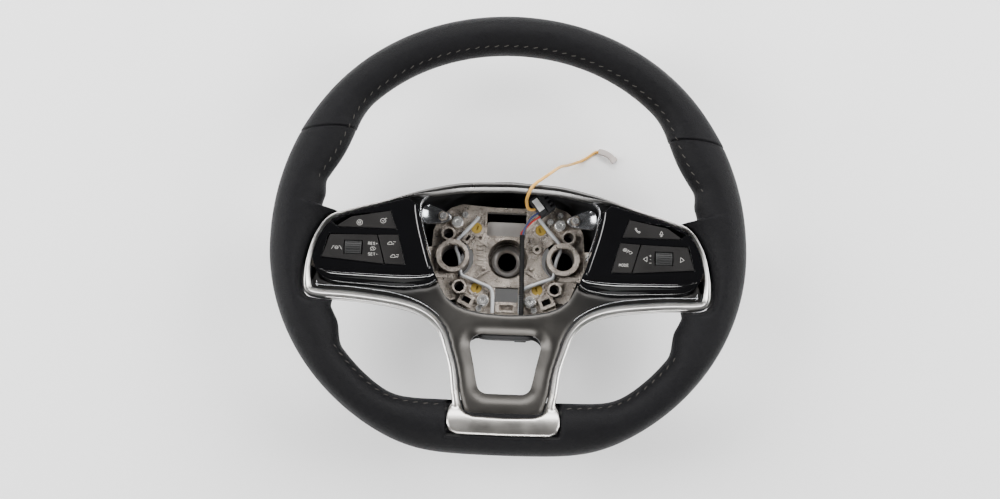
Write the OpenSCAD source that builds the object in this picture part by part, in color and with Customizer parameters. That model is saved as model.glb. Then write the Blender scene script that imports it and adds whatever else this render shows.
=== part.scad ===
// Car steering wheel with the airbag module taken out.
// The wheel lies on its back: +Z runs along the column axis towards the driver,
// +Y points to twelve o'clock, +X to the driver's right. The origin is on the
// column axis at the rear face of the column bush. All sizes are millimetres.

/* [Rim] */
// Width of the wheel over the rim
rim_w = 370; // [360:1:384]
// Drop from the rim centre to the outside of the flat bottom
rim_flat = 161; // [156:0.5:168]
// Thickness of the grip across the top half
grip_w = 31; // [28:0.5:34]
// Depth of the grip from front to back
grip_h = 35; // [33:0.5:39]
// Width of the grip at the flat bottom
bottom_w = 41.5; // [38:0.5:44]
// How far the thumb rests stand in from the rim
thumb_d = 7.5; // [3:0.5:9]
// How far the outside swells at ten and two o'clock
shoulder = 2.2; // [0:0.1:3]
// Height of the rim centre above the column axis
rim_cy = 4; // [2:0.5:6]
// Height of the rim plane over the rear face of the column bush
rim_z = 88; // [84:1:94]
// Thickness of the leather
leather_t = 1.3; // [1:0.1:1.8]
// Angle of the leather seam above three o'clock
seam_a = 31; // [27:1:40]
// Radius of the steel hoop inside the rim
hoop_r = 6; // [4:0.5:6.5]

/* [Hub] */
// Length of the column bush
bush_len = 34; // [30:1:36]
// Outer radius of the column bush
bush_r = 12.6; // [12:0.1:13.5]
// Radius of the plain bore at the rear of the bush
bore_r = 9; // [8.6:0.1:9.6]
// Length of that plain bore
bore_len = 8; // [6:1:10]
// Number of splines in the bush
spline_n = 36; // [24:2:48]
// Height of the hub plate's front face over the bush's rear face
hub_z = 48; // [46:1:52]
// Thickness of the hub plate
hub_t = 9; // [7:0.5:11]
// Distance of the big bosses from the column axis
big_x = 44.4; // [43:0.2:46]
// Bore radius of the big bosses
big_bore_r = 9.3; // [8.5:0.1:9.8]
// Wall of the big bosses
big_wall = 3.9; // [3.4:0.1:4.2]
// Height of the big bosses over the hub plate
big_h = 10; // [8:0.5:12]
// Bore radius of the four pin sockets
pin_bore_r = 4.1; // [3.6:0.1:4.4]
// Wall of the pin sockets
pin_wall = 1.5; // [1.2:0.1:1.8]
// Height of the pin sockets over the hub plate
pin_h = 8; // [6:0.5:10]
// Radius of the wire springs
wire_r = 1.3; // [1:0.1:1.5]

/* [Spokes and trim] */
// Gap from the outside of the rim to the outer corner of the trim
corner_in = 28.4; // [27:0.2:32]
// Height of the trim's crest over the rim plane at the hub
trim_up = 5; // [3:0.5:7]
// Depth of the trim strip
trim_deep = 9; // [7:0.5:10]
// Width of the trim's bottom bar between its corners
bar_w = 87.8; // [84:0.2:92]
// Half width of the window at its top
window_top = 29; // [26:0.5:30]
// Half width of the window at its foot
window_foot = 17.5; // [15:0.5:19]
// Thickness of the lower bezel
bezel_t = 2.5; // [2:0.1:3]
// Thickness of the back cover
cover_t = 2.2; // [1.8:0.1:2.6]
// How far the back cover reaches behind the column bush
cover_back = 6; // [4:0.5:10]
// Radius of the back cover's rear ring
ring_r = 62; // [58:1:66]

/* [Switch pods] */
// Height of the pod face over the rim plane
pod_up = 6.5; // [5:0.5:8]
// Wall of the switch bezels
pod_wall = 2; // [1.6:0.1:2.4]
// Height of the keys over the pod face
key_up = 0.8; // [0.4:0.1:1.2]
// Thickness of the keys
key_t = 3; // [2.5:0.1:3.4]
// Gap round the keys
key_gap = 0.4; // [0.3:0.05:0.6]
// Radius of the rollers
roller_r = 7; // [6.6:0.1:7.4]
// Length of the rollers
roller_len = 12.6; // [11:0.2:13]
// Number of ribs round a roller
roller_ribs = 24; // [16:1:32]

/* [Wiring] */
// Radius of the loom sleeve
loom_r = 2.2; // [1.8:0.1:2.4]
// Radius of the single wires
strand_r = 0.8; // [0.6:0.1:1]
// Radius of the airbag lead
lead_r = 1.25; // [1:0.05:1.4]

/* [Hidden] */
gap = 0.3;
skin_gap = 0.08;
fine = 0.02;
$fn = 48;

leather_colour = [0.1, 0.1, 0.11];
cast_colour = [0.72, 0.67, 0.61];
satin_colour = [0.78, 0.77, 0.75];
gloss_colour = [0.03, 0.03, 0.03];
key_colour = [0.22, 0.21, 0.2];

function smooth(t) = let (c = min(1, max(0, t))) c * c * (3 - 2 * c);
function soft_min(p, q) = p * pow(1 + pow(p / q, 40), -1 / 40);
function unit(v) = v / norm(v);

// One piece of a Catmull-Rom curve through q[1] and q[2]
function curve_at(q, t) = 0.5 * (2 * q[1] + (q[2] - q[0]) * t
  + (2 * q[0] - 5 * q[1] + 4 * q[2] - q[3]) * t * t
  + (3 * q[1] - q[0] - 3 * q[2] + q[3]) * t * t * t);
function curve(p, steps) = let (m = len(p) - 1) concat(
  [for (i = [0:m - 1]) for (k = [0:steps - 1])
    curve_at([p[max(0, i - 1)], p[i], p[i + 1], p[min(m, i + 2)]], k / steps)],
  [p[m]]);
function mirrored(p) = [for (i = [len(p) - 1:-1:0]) [-p[i][0], p[i][1]]];

// Triangles between rows of points; each row is a closed ring of m points
function side_faces(n, m, wrap) = [for (i = [0:n - (wrap ? 1 : 2)]) for (j = [0:m - 1])
  let (a = i * m + j, b = i * m + (j + 1) % m,
    c = ((i + 1) % n) * m + (j + 1) % m, d = ((i + 1) % n) * m + j)
  each [[a, b, c], [a, c, d]]];

// A solid swept through rings of points, closed by its ends or onto itself
module loft(rows, wrap = false) {
  n = len(rows);
  m = len(rows[0]);
  caps = wrap ? [] : [[for (j = [m - 1:-1:0]) j], [for (j = [0:m - 1]) (n - 1) * m + j]];
  polyhedron([for (row = rows) each row], concat(side_faces(n, m, wrap), caps), convexity = 8);
}

// A round wire along a list of points
function wire_rows(path, r, sides, ref) = let (n = len(path)) [for (i = [0:n - 1])
  let (t = unit(path[min(n - 1, i + 1)] - path[max(0, i - 1)]),
    u = unit(cross(ref, t)), v = cross(t, u))
  [for (j = [0:sides - 1]) let (s = 360 * j / sides) path[i] + r * (cos(s) * u - sin(s) * v)]];

// Spoke outline: the outer edge of the trim, right half, from twelve o'clock
// clockwise to the foot of the leg. Each point is x, y, crest height, strip width.
rim_r = rim_w / 2;
corner_x = rim_r - corner_in;
bar_y = rim_cy - rim_flat + 15.2;
crest = rim_z + trim_up;
half_trim = [
  [0, 54, crest, 7.5],
  [36, 52.3, crest, 7.5],
  [62, 46.9, crest + 1, 6.5],
  [80, 41.5, crest + 2, 3.4],
  [100, 35.2, crest + 2.5, 3],
  [corner_x - 38.6, 28.8, crest + 3, 3],
  [corner_x - 21.6, 19, crest + 3.5, 3.2],
  [corner_x - 11.6, 6.5, crest + 4, 3.2],
  [corner_x - 4.4, -11, crest + 4, 3.6],
  [corner_x, -28, crest + 4, 5.6],
  [corner_x - 2, -38.2, crest + 3.5, 6.4],
  [corner_x - 10.6, -42, crest + 3, 6.8],
  [corner_x - 36.6, -43.3, crest + 2, 7],
  [84, -47.4, crest + 1, 7],
  [64, -53.8, crest + 0.5, 6.5],
  [52.5, -64.5, crest + 0.5, 6],
  [46.3, -80, crest + 2, 5.5],
  [41.3, -96, crest + 4, 5.5],
  [36.8, bar_y + 29.8, crest + 6.5, 5.5],
  [33, bar_y + 16.8, crest + 7.5, 5.5]
];
trim_steps = 3;
trim_line = curve(half_trim, trim_steps);
trim_n = len(trim_line);

// Inward normal of the outline at sample i
function trim_in(i) = let (
  d = trim_line[min(trim_n - 1, i + 1)] - trim_line[max(0, i - 1)],
  m = norm([d[0], d[1]]))
  i == 0 ? [0, -1] : [d[1] / m, -d[0] / m];
function trim_edge(i, inset) = [trim_line[i][0], trim_line[i][1]] + inset * trim_in(i);
function trim_inner(i, extra) = trim_edge(i, trim_line[i][3] + extra);
function sample(control) = control * trim_steps;

// Radius of the outline from the rim centre at angle a (right half)
function seat(a) = let (d = [cos(a), sin(a)]) max([for (i = [0:trim_n - 2])
  let (p = trim_edge(i, 0) - [0, rim_cy], q = trim_edge(i + 1, 0) - [0, rim_cy],
    den = cross(q - p, d), s = den == 0 ? -1 : -cross(p, d) / den)
  s >= 0 && s <= 1 ? p * d + s * ((q - p) * d) : 0]);

// Rim outline in polar form about the rim centre, a from -90 to 90
low_r = 169;
low_in_r = 141;
seat_gap = 1;
function oval(a, rx, ry) = 1 / sqrt(pow(cos(a) / rx, 2) + pow(sin(a) / ry, 2));
function rim_out(a) = a >= 0
  ? rim_r + shoulder * pow(sin(2 * a), 2) + sin(a)
  : soft_min(oval(a, rim_r, low_r), rim_flat / max(0.01, -sin(a)));
function thumb(a) = thumb_d * pow(cos(90 * min(1, abs(a - 28) / 18)), 2);
function grip_in(a) = a >= 0
  ? rim_out(a) - grip_w - thumb(a)
  : soft_min(oval(a, rim_r - grip_w, low_in_r), (rim_flat - bottom_w) / max(0.01, -sin(a)));
function web(a) = a > -5 ? 26 * smooth((15 - a) / 6) : 14 * smooth((a + 24) / 6);
function rim_in(a) = a > -30 && a < 20
  ? max(grip_in(a) - web(a), seat(a) + seat_gap) : grip_in(a);
function fold(a) = a > 90 ? 180 - a : a;

// Angles of the rim's rings, from six o'clock anticlockwise; the seam is one of them
half_angles = concat([for (a = [-90:8:-26]) a], [for (k = [0:26]) -24 + 1.5 * k],
  [19, 23, 27, seam_a], [for (k = [1:7]) seam_a + (90 - seam_a) * k / 7]);
half_n = len(half_angles);
all_angles = concat(half_angles, [for (i = [half_n - 2:-1:1]) 180 - half_angles[i]]);
seam_i = search(seam_a, half_angles)[0];
upper_angles = [for (i = [seam_i:len(all_angles) - 1]) if (all_angles[i] <= 180 - seam_a + fine)
  all_angles[i]];
lower_angles = concat([for (i = [1:seam_i]) 180 - half_angles[seam_i - i + 1]],
  [for (i = [0:seam_i]) half_angles[i] + 360]);
rim_sides = 12;

function rim_ring(a, inset) = let (f = fold(a > 270 ? a - 360 : a),
  ro = rim_out(f) - inset, ri = rim_in(f) + inset, c = (ro + ri) / 2, w = (ro - ri) / 2,
  h = grip_h / 2 - inset)
  [for (j = [0:rim_sides - 1]) let (s = 360 * j / rim_sides, r = c + w * cos(s))
    [r * cos(a), rim_cy + r * sin(a), rim_z + h * sin(s)]];
function hoop_ring(a, grow) = let (f = fold(a), c = rim_out(f) - hoop_in, w = hoop_r + grow)
  [for (j = [0:7]) let (s = 45 * j + 22.5, r = c + w * cos(s))
    [r * cos(a), rim_cy + r * sin(a), rim_z + w * sin(s)]];

// A leather sleeve: outer and inner skins joined at both ends
module sleeve(angles) {
  n = len(angles);
  m = rim_sides;
  rows = concat([for (a = angles) rim_ring(a, 0)], [for (a = angles) rim_ring(a, leather_t)]);
  outer = side_faces(n, m, false);
  inner = [for (f = outer) [f[2] + n * m, f[1] + n * m, f[0] + n * m]];
  start = [for (j = [0:m - 1]) let (k = (j + 1) % m)
    each [[k, j, n * m + j], [k, n * m + j, n * m + k]]];
  last = (n - 1) * m;
  end = [for (j = [0:m - 1]) let (k = (j + 1) % m)
    each [[last + j, last + k, last + n * m + k], [last + j, last + n * m + k, last + n * m + j]]];
  polyhedron([for (row = rows) each row], concat(outer, inner, start, end), convexity = 8);
}

// Places of the hub's features, right side; the left side mirrors them
pin_upper = [48.5, 18.2];
pin_lower = [38.2, -24.5];
button_upper = [26.1, 24.5];
button_lower = [24.5, -24.5];
button_r = 4.4;
hex_upper = [41.8, 28.6];
hex_lower = [19, -34.7];
screw_spots = [[-35.6, 35], [41.6, 36.9], [33.7, 31.6], [-22, -41.2], [22.4, -41.2]];
post_spots = [[-35.6, 35], [41.6, 36.9], [-22, -41.2], [22.4, -41.2]];
screw_r = 1.8;
bolt_r = 2.5;
thread_gap = 0.1;
hub_back = hub_z - hub_t;
tab_spot = [53.2, 31];
tab_z = hub_z + 14;
tab_t = 5;
tab_floor = 1.6;
big_r = big_bore_r + big_wall;
wire_z = hub_z + 4;
recess_deep = 14;
recess_r = 16.2;

module both_sides() {
  children();
  mirror([1, 0, 0]) children();
}

module at(spot, z) {
  translate([spot[0], spot[1], z]) children();
}

// Trapezoid window with round corners, shared by bezel, cover and legs
window_y = -64.8;
window_low = bar_y + 31.4;
// Move each corner of a clockwise outline inwards by d, square to both its sides
function inset(p, d) = let (n = len(p)) [for (i = [0:n - 1])
  let (a = unit(p[i] - p[(i + n - 1) % n]), b = unit(p[(i + 1) % n] - p[i]), m = unit(a + b))
  p[i] + d / (m * a) * [m[1], -m[0]]];
function arc(c, r, from, to) = [for (k = [0:5]) let (s = from + (to - from) * k / 5)
  [c[0] + r * cos(s), c[1] + r * sin(s)]];
function window(grow) = let (
  right = concat(arc([window_foot - 7, window_low + 7], 7 + grow, -90, -12),
    arc([window_top - 9, window_y - 9], 9 + grow, -8, 90)))
  concat(right, mirrored(right));

// Pilot, splines and lead-in of the column bush
module column_bush() color("dimgray") difference() {
  union() {
    cylinder(r = bush_r, h = bush_len);
    translate([0, 0, bush_len - 8]) cylinder(r = bush_r + 1.6, h = 5);
  }
  translate([0, 0, -1]) cylinder(r = bore_r, h = bore_len + 1);
  translate([0, 0, bore_len - fine]) linear_extrude(bush_len - bore_len - 6)
    polygon([for (i = [0:2 * spline_n - 1])
      let (s = 180 * i / spline_n, r = bore_r - (i % 2 == 0 ? 0.2 : 1.1)) [r * cos(s), r * sin(s)]]);
  translate([0, 0, bush_len - 7]) cylinder(r = 7.6, h = 8);
  translate([0, 0, bush_len - 2]) cylinder(r1 = 7.6, r2 = 9.8, h = 2 + fine);
}

hub_outline = let (right = [[0, -50.5], [22, -50], [34, -46.5], [44, -40], [51, -31], [55.5, -20],
  [60, -6], [62, 8], [61, 22], [56, 33], [47, 41], [38, 44], [24, 43], [10, 42.2]])
  concat(right, mirrored(right));

// Side arm in profile: from the hub out to the hoop
hoop_in = grip_w / 2 - 2;
arm_end = rim_r - hoop_in - hoop_r - gap - 1;
arm_top = [[40, hub_z], [58, hub_z + 2], [84, rim_z - 18], [corner_x - 24, rim_z - 8],
  [corner_x - 9, rim_z - 5.4], [corner_x + 1, rim_z - 1], [arm_end - 1.6, rim_z + 2],
  [arm_end, rim_z + 2]];
arm_low = [[arm_end, rim_z - 7], [corner_x + 2, rim_z - 9], [corner_x - 14, rim_z - 11.6],
  [98, rim_z - 25], [64, hub_back + 2], [56, hub_back], [40, hub_back]];
arm_y = -5;
arm_w = 24;
module side_arm() difference() {
  translate([0, arm_y + arm_w / 2, 0]) rotate([90, 0, 0]) linear_extrude(arm_w)
    polygon(concat(arm_top, arm_low));
  // channel along the front of the arm
  translate([0, arm_y + arm_w / 2 - 4, 3]) rotate([90, 0, 0]) linear_extrude(arm_w - 8)
    polygon([[62, hub_z + 2], [84, rim_z - 27], [corner_x - 30, rim_z - 12.6],
      [corner_x - 30, rim_z], [62, rim_z]]);
}

// Lower leg in profile: from the hub down to the hoop at the flat bottom
leg_end = rim_cy - rim_flat + hoop_in + hoop_r + 2 * gap;
leg_top = [[-34, hub_z], [-46, hub_z + 2], [-60, rim_z - 20], [-70, rim_z - 13], [bar_y + 36, rim_z - 5],
  [bar_y + 21.6, rim_z - 4.6], [leg_end + 3, rim_z + 2], [leg_end, rim_z + 2]];
leg_low = [[leg_end, rim_z - 8], [bar_y + 34, rim_z - 11], [-72, rim_z - 21], [-58, rim_z - 29],
  [-44, hub_back + 2], [-34, hub_back]];
leg_w = 8;
leg_lean = 12;
leg_x = 37.4;
module leg() translate([leg_x, -70, 0]) rotate([0, 0, -leg_lean]) translate([-leg_w / 2, 70, 0])
  rotate([90, 0, 90]) linear_extrude(leg_w) polygon(concat(leg_top, leg_low));

module big_boss() at([big_x, 0], hub_back - 6) cylinder(r = big_r, h = big_h + hub_t + 6);
module pin_socket(spot) at(spot, hub_back - 3)
  cylinder(r = pin_bore_r + pin_wall, h = pin_h + hub_t + 3);
module pin_bore(spot) at(spot, hub_back - 4) cylinder(r = pin_bore_r, h = pin_h + hub_t + 5);
module drill(spot, r) at(spot, hub_back - 20) cylinder(r = r, h = 60, $fn = 32);

// Slot on the inner side of a big boss
module crescent() at([big_x, 0], hub_back - 1) rotate([0, 0, 118]) rotate_extrude(angle = 134)
  translate([big_r + fine, 0]) square([3.6, hub_t + 2]);

// Passage for the retaining spring through the wall of a big boss
module wire_passage(from, to) let (d = to - from)
  at(from, wire_z - wire_r - gap) rotate([0, 0, atan2(d[1], d[0])])
    translate([0, -wire_r - gap, 0]) cube([norm(d), 2 * (wire_r + gap), 2 * (wire_r + gap)]);

module hub_plate() union() {
  at([0, 0], hub_back) linear_extrude(hub_t) polygon(hub_outline);
  cylinder_boss();
  both_sides() {
    big_boss();
    pin_socket(pin_upper);
    pin_socket(pin_lower);
    at(button_upper, hub_back) cylinder(r = button_r + 1.8, h = hub_t + 1.6);
    at(button_lower, hub_back) cylinder(r = button_r + 1.8, h = hub_t + 1.6);
    at(hex_upper, hub_back) cylinder(r = 5.4, h = hub_t + 3);
    at(hex_lower, hub_back) cylinder(r = 5.4, h = hub_t + 3);
    // frame round the square clip socket
    at([32.2, -34.3], hub_back + 1) rotate([0, 0, 25]) translate([-6, -5, 0]) cube([12, 10, hub_t + 2]);
    at(tab_spot, hub_back) cylinder(r = 4, h = tab_z - hub_back);
    // ribs fanning out from the recess
    for (s = [32, 58, 122, 148]) rotate([0, 0, s - 90]) translate([17, -0.9, hub_back + 1])
      cube([15, 1.8, hub_t + 0.5]);
    // webs from the big boss out to the edge
    translate([big_x, -1.2, hub_back]) cube([16, 2.4, hub_t + 4]);
  }
  for (spot = screw_spots) at(spot, hub_back) cylinder(r = 3.1, h = hub_t + 1.5);
  // slotted lug, round boss and square lug near the upper buttons
  at([-32.8, 15.8], hub_back + 1) rotate([0, 0, 55]) translate([-4.4, -3.2, 0]) cube([8.8, 6.4, hub_t + 1.5]);
  at([23.3, 8.3], hub_back) cylinder(r = 3.4, h = hub_t + 3);
  at([32.2, 15.8], hub_back + 1) rotate([0, 0, 40]) translate([-4, -4, 0]) cube([8, 8, hub_t + 1]);
  // raised step under the recess
  at([-19, -23], hub_back) cube([38, 4.5, hub_t + 0.8]);
  // clip frame at the foot of the lower opening
  at([-8.6, -43.6], hub_back - 2) cube([17.2, 8.2, hub_t + 5]);
}

module cylinder_boss() translate([0, 0, 8]) cylinder(r = recess_r + 2.2, h = hub_z - 8.5);

module armature() color(cast_colour) difference() {
  union() {
    hub_plate();
    both_sides() {
      side_arm();
      leg();
    }
  }
  // seat of the column bush and the recess in front of it
  translate([0, 0, -1]) cylinder(r = bush_r + thread_gap / 2, h = hub_z);
  translate([0, 0, bush_len - 8 - fine]) cylinder(r = bush_r + 1.7, h = 12);
  translate([0, 0, hub_z - recess_deep]) cylinder(r1 = recess_r - 1.2, r2 = recess_r, h = recess_deep + fine);
  both_sides() {
    at([big_x, 0], hub_back - 8) cylinder(r = big_bore_r, h = big_h + hub_t + 10);
    at([big_x, 0], hub_z + big_h - 1) cylinder(r1 = big_bore_r, r2 = big_bore_r + 1, h = 1 + fine);
    crescent();
    pin_bore(pin_upper);
    pin_bore(pin_lower);
    at(button_upper, hub_z - 3) cylinder(r = button_r + gap / 2, h = 6);
    at(button_lower, hub_z - 3) cylinder(r = button_r + gap / 2, h = 6);
    drill(hex_upper, bolt_r + thread_gap);
    drill(hex_lower, bolt_r + thread_gap);
    drill(tab_spot, screw_r + thread_gap);
    at([32.2, -34.3], hub_back - 1) rotate([0, 0, 25]) translate([-3.6, -2.4, 0]) cube([7.2, 4.8, hub_t + 8]);
    wire_passage([41, 16], [42, 6]);
    wire_passage([38.6, -6], [37.4, -16]);
  }
  for (spot = screw_spots) {
    drill(spot, screw_r + thread_gap);
    at(spot, hub_z + 1.5) cylinder(r = 3.1, h = 8);
  }
  at([-32.8, 15.8], hub_z - 3) rotate([0, 0, 55]) translate([-2.6, -1.1, 0]) cube([5.2, 2.2, 8]);
  at([23.3, 8.3], hub_z - 4) cylinder(r = 1.7, h = 12);
  at([-22.8, 16.5], hub_z - 3) cylinder(r = 1.7, h = 6);
  // upper opening, lower opening and the mouth of the clip frame
  at([-17.6, 18.8], hub_back - 20) cube([31.8, 19.8, 50]);
  at([-9.3, -35.2], hub_back - 20) cube([18.6, 12, 50]);
  at([-5.6, -42], hub_z - 2) cube([11.2, 4.4, 8]);
}

// Wire that springs against the airbag module's pins, through the big boss
spring_path = [[-24.6, 33.2], [-28.4, 28.2], [-35.3, 20.2], [-41.2, 13.4], [-42.1, 7.2], [-39.8, 1.2],
  [-38.4, -4.8], [-38, -9.5], [-37, -14.6], [-33, -16.6], [-28.6, -18.2], [-21.5, -21], [-15.4, -23.4],
  [-12.4, -26], [-11.2, -29.6], [-11, -36], [-11, -44.4]];
module retaining_spring() color("lightgray")
  loft(wire_rows([for (p = spring_path) [p[0], p[1], wire_z]], wire_r, 8, [0, 0, 1]));
module left_retaining_spring() retaining_spring();
module right_retaining_spring() mirror([1, 0, 0]) retaining_spring();

module spring_button() difference() {
  cylinder(r = button_r, h = 4.2);
  translate([-0.7, -1.8, 2.4]) rotate([0, 0, 20]) cube([1.4, 3.8, 3]);
}
module spring_buttons() color([0.6, 0.48, 0.16]) both_sides() {
  at(button_upper, hub_z - 3) spring_button();
  at(button_lower, hub_z - 3) spring_button();
}

bolt_af = 8;
module hex_bolt() union() {
  cylinder(r = bolt_af / sqrt(3), h = 3.6, $fn = 6);
  cylinder(r = bolt_af / 2 + 0.7, h = 0.9);
  translate([0, 0, -hub_t - 3]) cylinder(r = bolt_r, h = hub_t + 3.5);
}
module hex_bolts() color("gainsboro") both_sides() {
  at(hex_upper, hub_z + 3) hex_bolt();
  at(hex_lower, hub_z + 3) hex_bolt();
}
module screw(len) union() {
  difference() {
    cylinder(r1 = 2.8, r2 = 2.3, h = 2);
    translate([-1.6, -0.35, 1]) cube([3.2, 0.7, 2]);
    translate([-0.35, -1.6, 1]) cube([0.7, 3.2, 2]);
  }
  translate([0, 0, -len]) cylinder(r = screw_r, h = len + 0.1);
}
module small_screws() color("silver") {
  for (spot = screw_spots) at(spot, hub_z + 1.5) screw(hub_t + 4.5);
  both_sides() at(tab_spot, tab_z + tab_floor) screw(16);
}

// Steel hoop inside the rim and the foam round it
module hoop(grow) loft([for (a = all_angles) hoop_ring(a, grow)], true);
module rim_hoop() color("slategray") hoop(0);

// Room for the arms and legs where they pass into the rim
module arm_ways(grow) both_sides()
  translate([corner_x - 30, arm_y - arm_w / 2 - grow, rim_z - 14 - grow])
    cube([arm_end - corner_x + 30 + grow, arm_w + 2 * grow, 19 + 2 * grow]);
module leg_ways(grow) both_sides()
  translate([19.4, leg_end - grow, rim_z - 17 - grow]) cube([14.6, 30, 20 + 2 * grow]);
module bar_pocket(from, low) translate([-bar_w / 2 - gap, bar_y + from, low])
  cube([bar_w + 2 * gap, 45, 60]);

module rim_foam() color([0.2, 0.2, 0.2]) difference() {
  loft([for (a = all_angles) rim_ring(a, leather_t + skin_gap)], true);
  hoop(skin_gap);
  arm_ways(gap);
  leg_ways(gap);
  bar_pocket(-gap, rim_z + 8);
  bar_pocket(13, rim_z - 7);
}
module leather_upper() color(leather_colour) sleeve(upper_angles);
module leather_lower() color(leather_colour) difference() {
  sleeve(lower_angles);
  arm_ways(gap + 0.2);
  leg_ways(gap + 0.2);
  bar_pocket(-gap, rim_z + 6);
  bar_pocket(13, rim_z - 7);
}

// Trim: a strip swept along the outline, and the bar across the bottom
function strip_section(w) = [[0, -trim_deep], [0, -1.6], [0.16 * w, -0.2], [0.45 * w, 0],
  [0.62 * w, -0.8], [w, -3.2], [w, -5.4], [0.5 * w, -trim_deep]];
function strip_row(i, side) = let (c = trim_line[i], n = trim_in(i))
  [for (q = strip_section(c[3])) [side * (c[0] + q[0] * n[0]), c[1] + q[0] * n[1], c[2] + q[1]]];
strip_rows = concat([for (i = [trim_n - 1:-1:0]) strip_row(i, 1)],
  [for (i = [1:trim_n - 1]) strip_row(i, -1)]);
bar_outline = let (h = bar_w / 2, right = [[0, bar_y], [h - 7.4, bar_y + 0.5], [h - 2.4, bar_y + 3],
  [h, bar_y + 7.8], [h, bar_y + 26], [h - 1.4, bar_y + 30], [h - 3.6, bar_y + 31.4], [35, bar_y + 31],
  [30.6, bar_y + 22], [29.4, bar_y + 19.4], [26.8, bar_y + 16.2], [21.5, bar_y + 14],
  [0, bar_y + 13.2]])
  concat(right, mirrored([for (i = [1:len(right) - 2]) right[i]]));
bar_round = 24;
module bottom_bar() intersection() {
  translate([0, 0, rim_z - 4]) linear_extrude(40) polygon(bar_outline);
  translate([-bar_w, bar_y + 4.8, rim_z + 18.2 - bar_round]) rotate([0, 90, 0]) difference() {
    cylinder(r = bar_round, h = 2 * bar_w, $fn = 96);
    translate([0, 0, -1]) cylinder(r = bar_round - 4, h = 2 * bar_w + 2, $fn = 96);
  }
}
module trim_frame() color(satin_colour) union() {
  loft(strip_rows);
  bottom_bar();
}

// Lower edge of the switch pods, from the trim in to the bay
pod_lip = [[corner_x - 8.8, -20.5], [corner_x - 13.6, -25.8], [corner_x - 22.6, -30], [80, -33],
  [61, -29.8], [54.2, -25.3]];

// Lower bezel: a plate that rises towards the bar, open at the bay and the window
bay_curve = [[47, -37.4], [40, -43], [31, -46.6], [17, -49.2], [0, -50]];
bezel_tilt = 5.2;
bezel_hinge = [0, -45, rim_z + 2];
bezel_right = concat([for (i = [len(bay_curve) - 1:-1:0]) bay_curve[i]],
  [for (i = [len(pod_lip) - 1:-1:0]) pod_lip[i] - [0, gap]],
  [for (i = [sample(9):trim_n - 4]) trim_inner(i, gap)],
  [[26.2, bar_y + 16.9], [21.2, bar_y + 14.6]]);
bezel_outline = concat(bezel_right, mirrored([for (i = [1:len(bezel_right) - 1]) bezel_right[i]]));
module lower_bezel() color([0.42, 0.41, 0.4]) difference() {
  translate(bezel_hinge) rotate([-bezel_tilt, 0, 0]) translate(-bezel_hinge) translate([0, 0, rim_z - bezel_t + 2])
    linear_extrude(bezel_t) polygon(bezel_outline);
  translate([0, 0, rim_z - 20]) linear_extrude(40) polygon(window(0));
}

// Switch pod: outline from the trim's inner edge, then the lower lip and the bay side
pod_z = rim_z + pod_up;
pod_deep = 11;
lip_y = -18.6;
pod_outline = concat([for (i = [sample(3):sample(8)]) trim_inner(i, gap)], pod_lip,
  [[59.5, -13], [64.8, 3], [69, 18], [71.4, 32]]);

// Keys: corners on the pod face, clockwise; they move outwards with the trim corner
key_dx = corner_x - 156.6;
upper_corners = [[92.8, 27], [122.4, 21.4], [133, 14.2], [131.8, 13.2], [87.6, 13.2]];
main_corners = [[102.2, 7.8], [138, 7], [143.4, -10.6], [95.8, -14.4]];
inner_corners = [[86, 8.5], [101.2, 7.9], [94.8, -14.4], [79.6, -14.6]];
upper_pivot = [110.5, 19];
main_pivot = [119.8, -2.4];
inner_pivot = [90.4, -3.2];
roller_spot = [119.8, -2.4];
roller_side = 0.9;
roller_ring = 0.7;
key_z = pod_z + key_up;
pivot_z = key_z - key_t;
roller_z = key_z + 1.4 - roller_r;
module move_keys() translate([key_dx, 0, 0]) children();

module switch_bezel() color(gloss_colour) difference() {
  translate([0, 0, pod_z - pod_deep]) linear_extrude(pod_deep) polygon(pod_outline);
  translate([0, 0, pod_z - pod_deep - 1]) linear_extrude(pod_deep + 1 - pod_wall)
    polygon(inset(pod_outline, pod_wall));
  move_keys() {
    translate([0, 0, pod_z - 5]) linear_extrude(10) polygon(inset(upper_corners, -key_gap));
    translate([0, 0, pod_z - 5]) linear_extrude(10) polygon(inset(
      [inner_corners[0], inner_corners[1], main_corners[0], main_corners[1], main_corners[2],
        main_corners[3], inner_corners[2], inner_corners[3]], -key_gap));
  }
  // the face falls away below the lip line
  translate([0, lip_y, pod_z]) rotate([28, 0, 0]) translate([0, -40, 0]) cube([200, 40, 30]);
}
module key(corners) color(key_colour) translate([0, 0, key_z - key_t]) linear_extrude(key_t)
  polygon(corners);
module upper_key() move_keys() key(upper_corners);
module inner_key() move_keys() key(inner_corners);
module main_key() move_keys() difference() {
  key(main_corners);
  // room round the roller, open to the front as its window
  at(roller_spot, roller_z) rotate([0, 90, 0]) translate([0, 0, -roller_len / 2 - roller_side])
    cylinder(r = roller_r + roller_ring, h = roller_len + 2 * roller_side);
}
roller_axle_r = 1.2;
module roller() move_keys() at(roller_spot, roller_z) rotate([0, 90, 0])
  color([0.08, 0.08, 0.08]) union() {
    difference() {
      translate([0, 0, -roller_len / 2]) cylinder(r = roller_r, h = roller_len);
      for (i = [0:roller_ribs - 1]) rotate([0, 0, 360 * i / roller_ribs])
        translate([roller_r - 0.5, -0.35, -roller_len / 2 + 0.8]) cube([1, 0.7, roller_len - 1.6]);
    }
    translate([0, 0, -roller_len / 2 - 2.4]) cylinder(r = roller_axle_r, h = roller_len + 4.8);
  }

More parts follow.
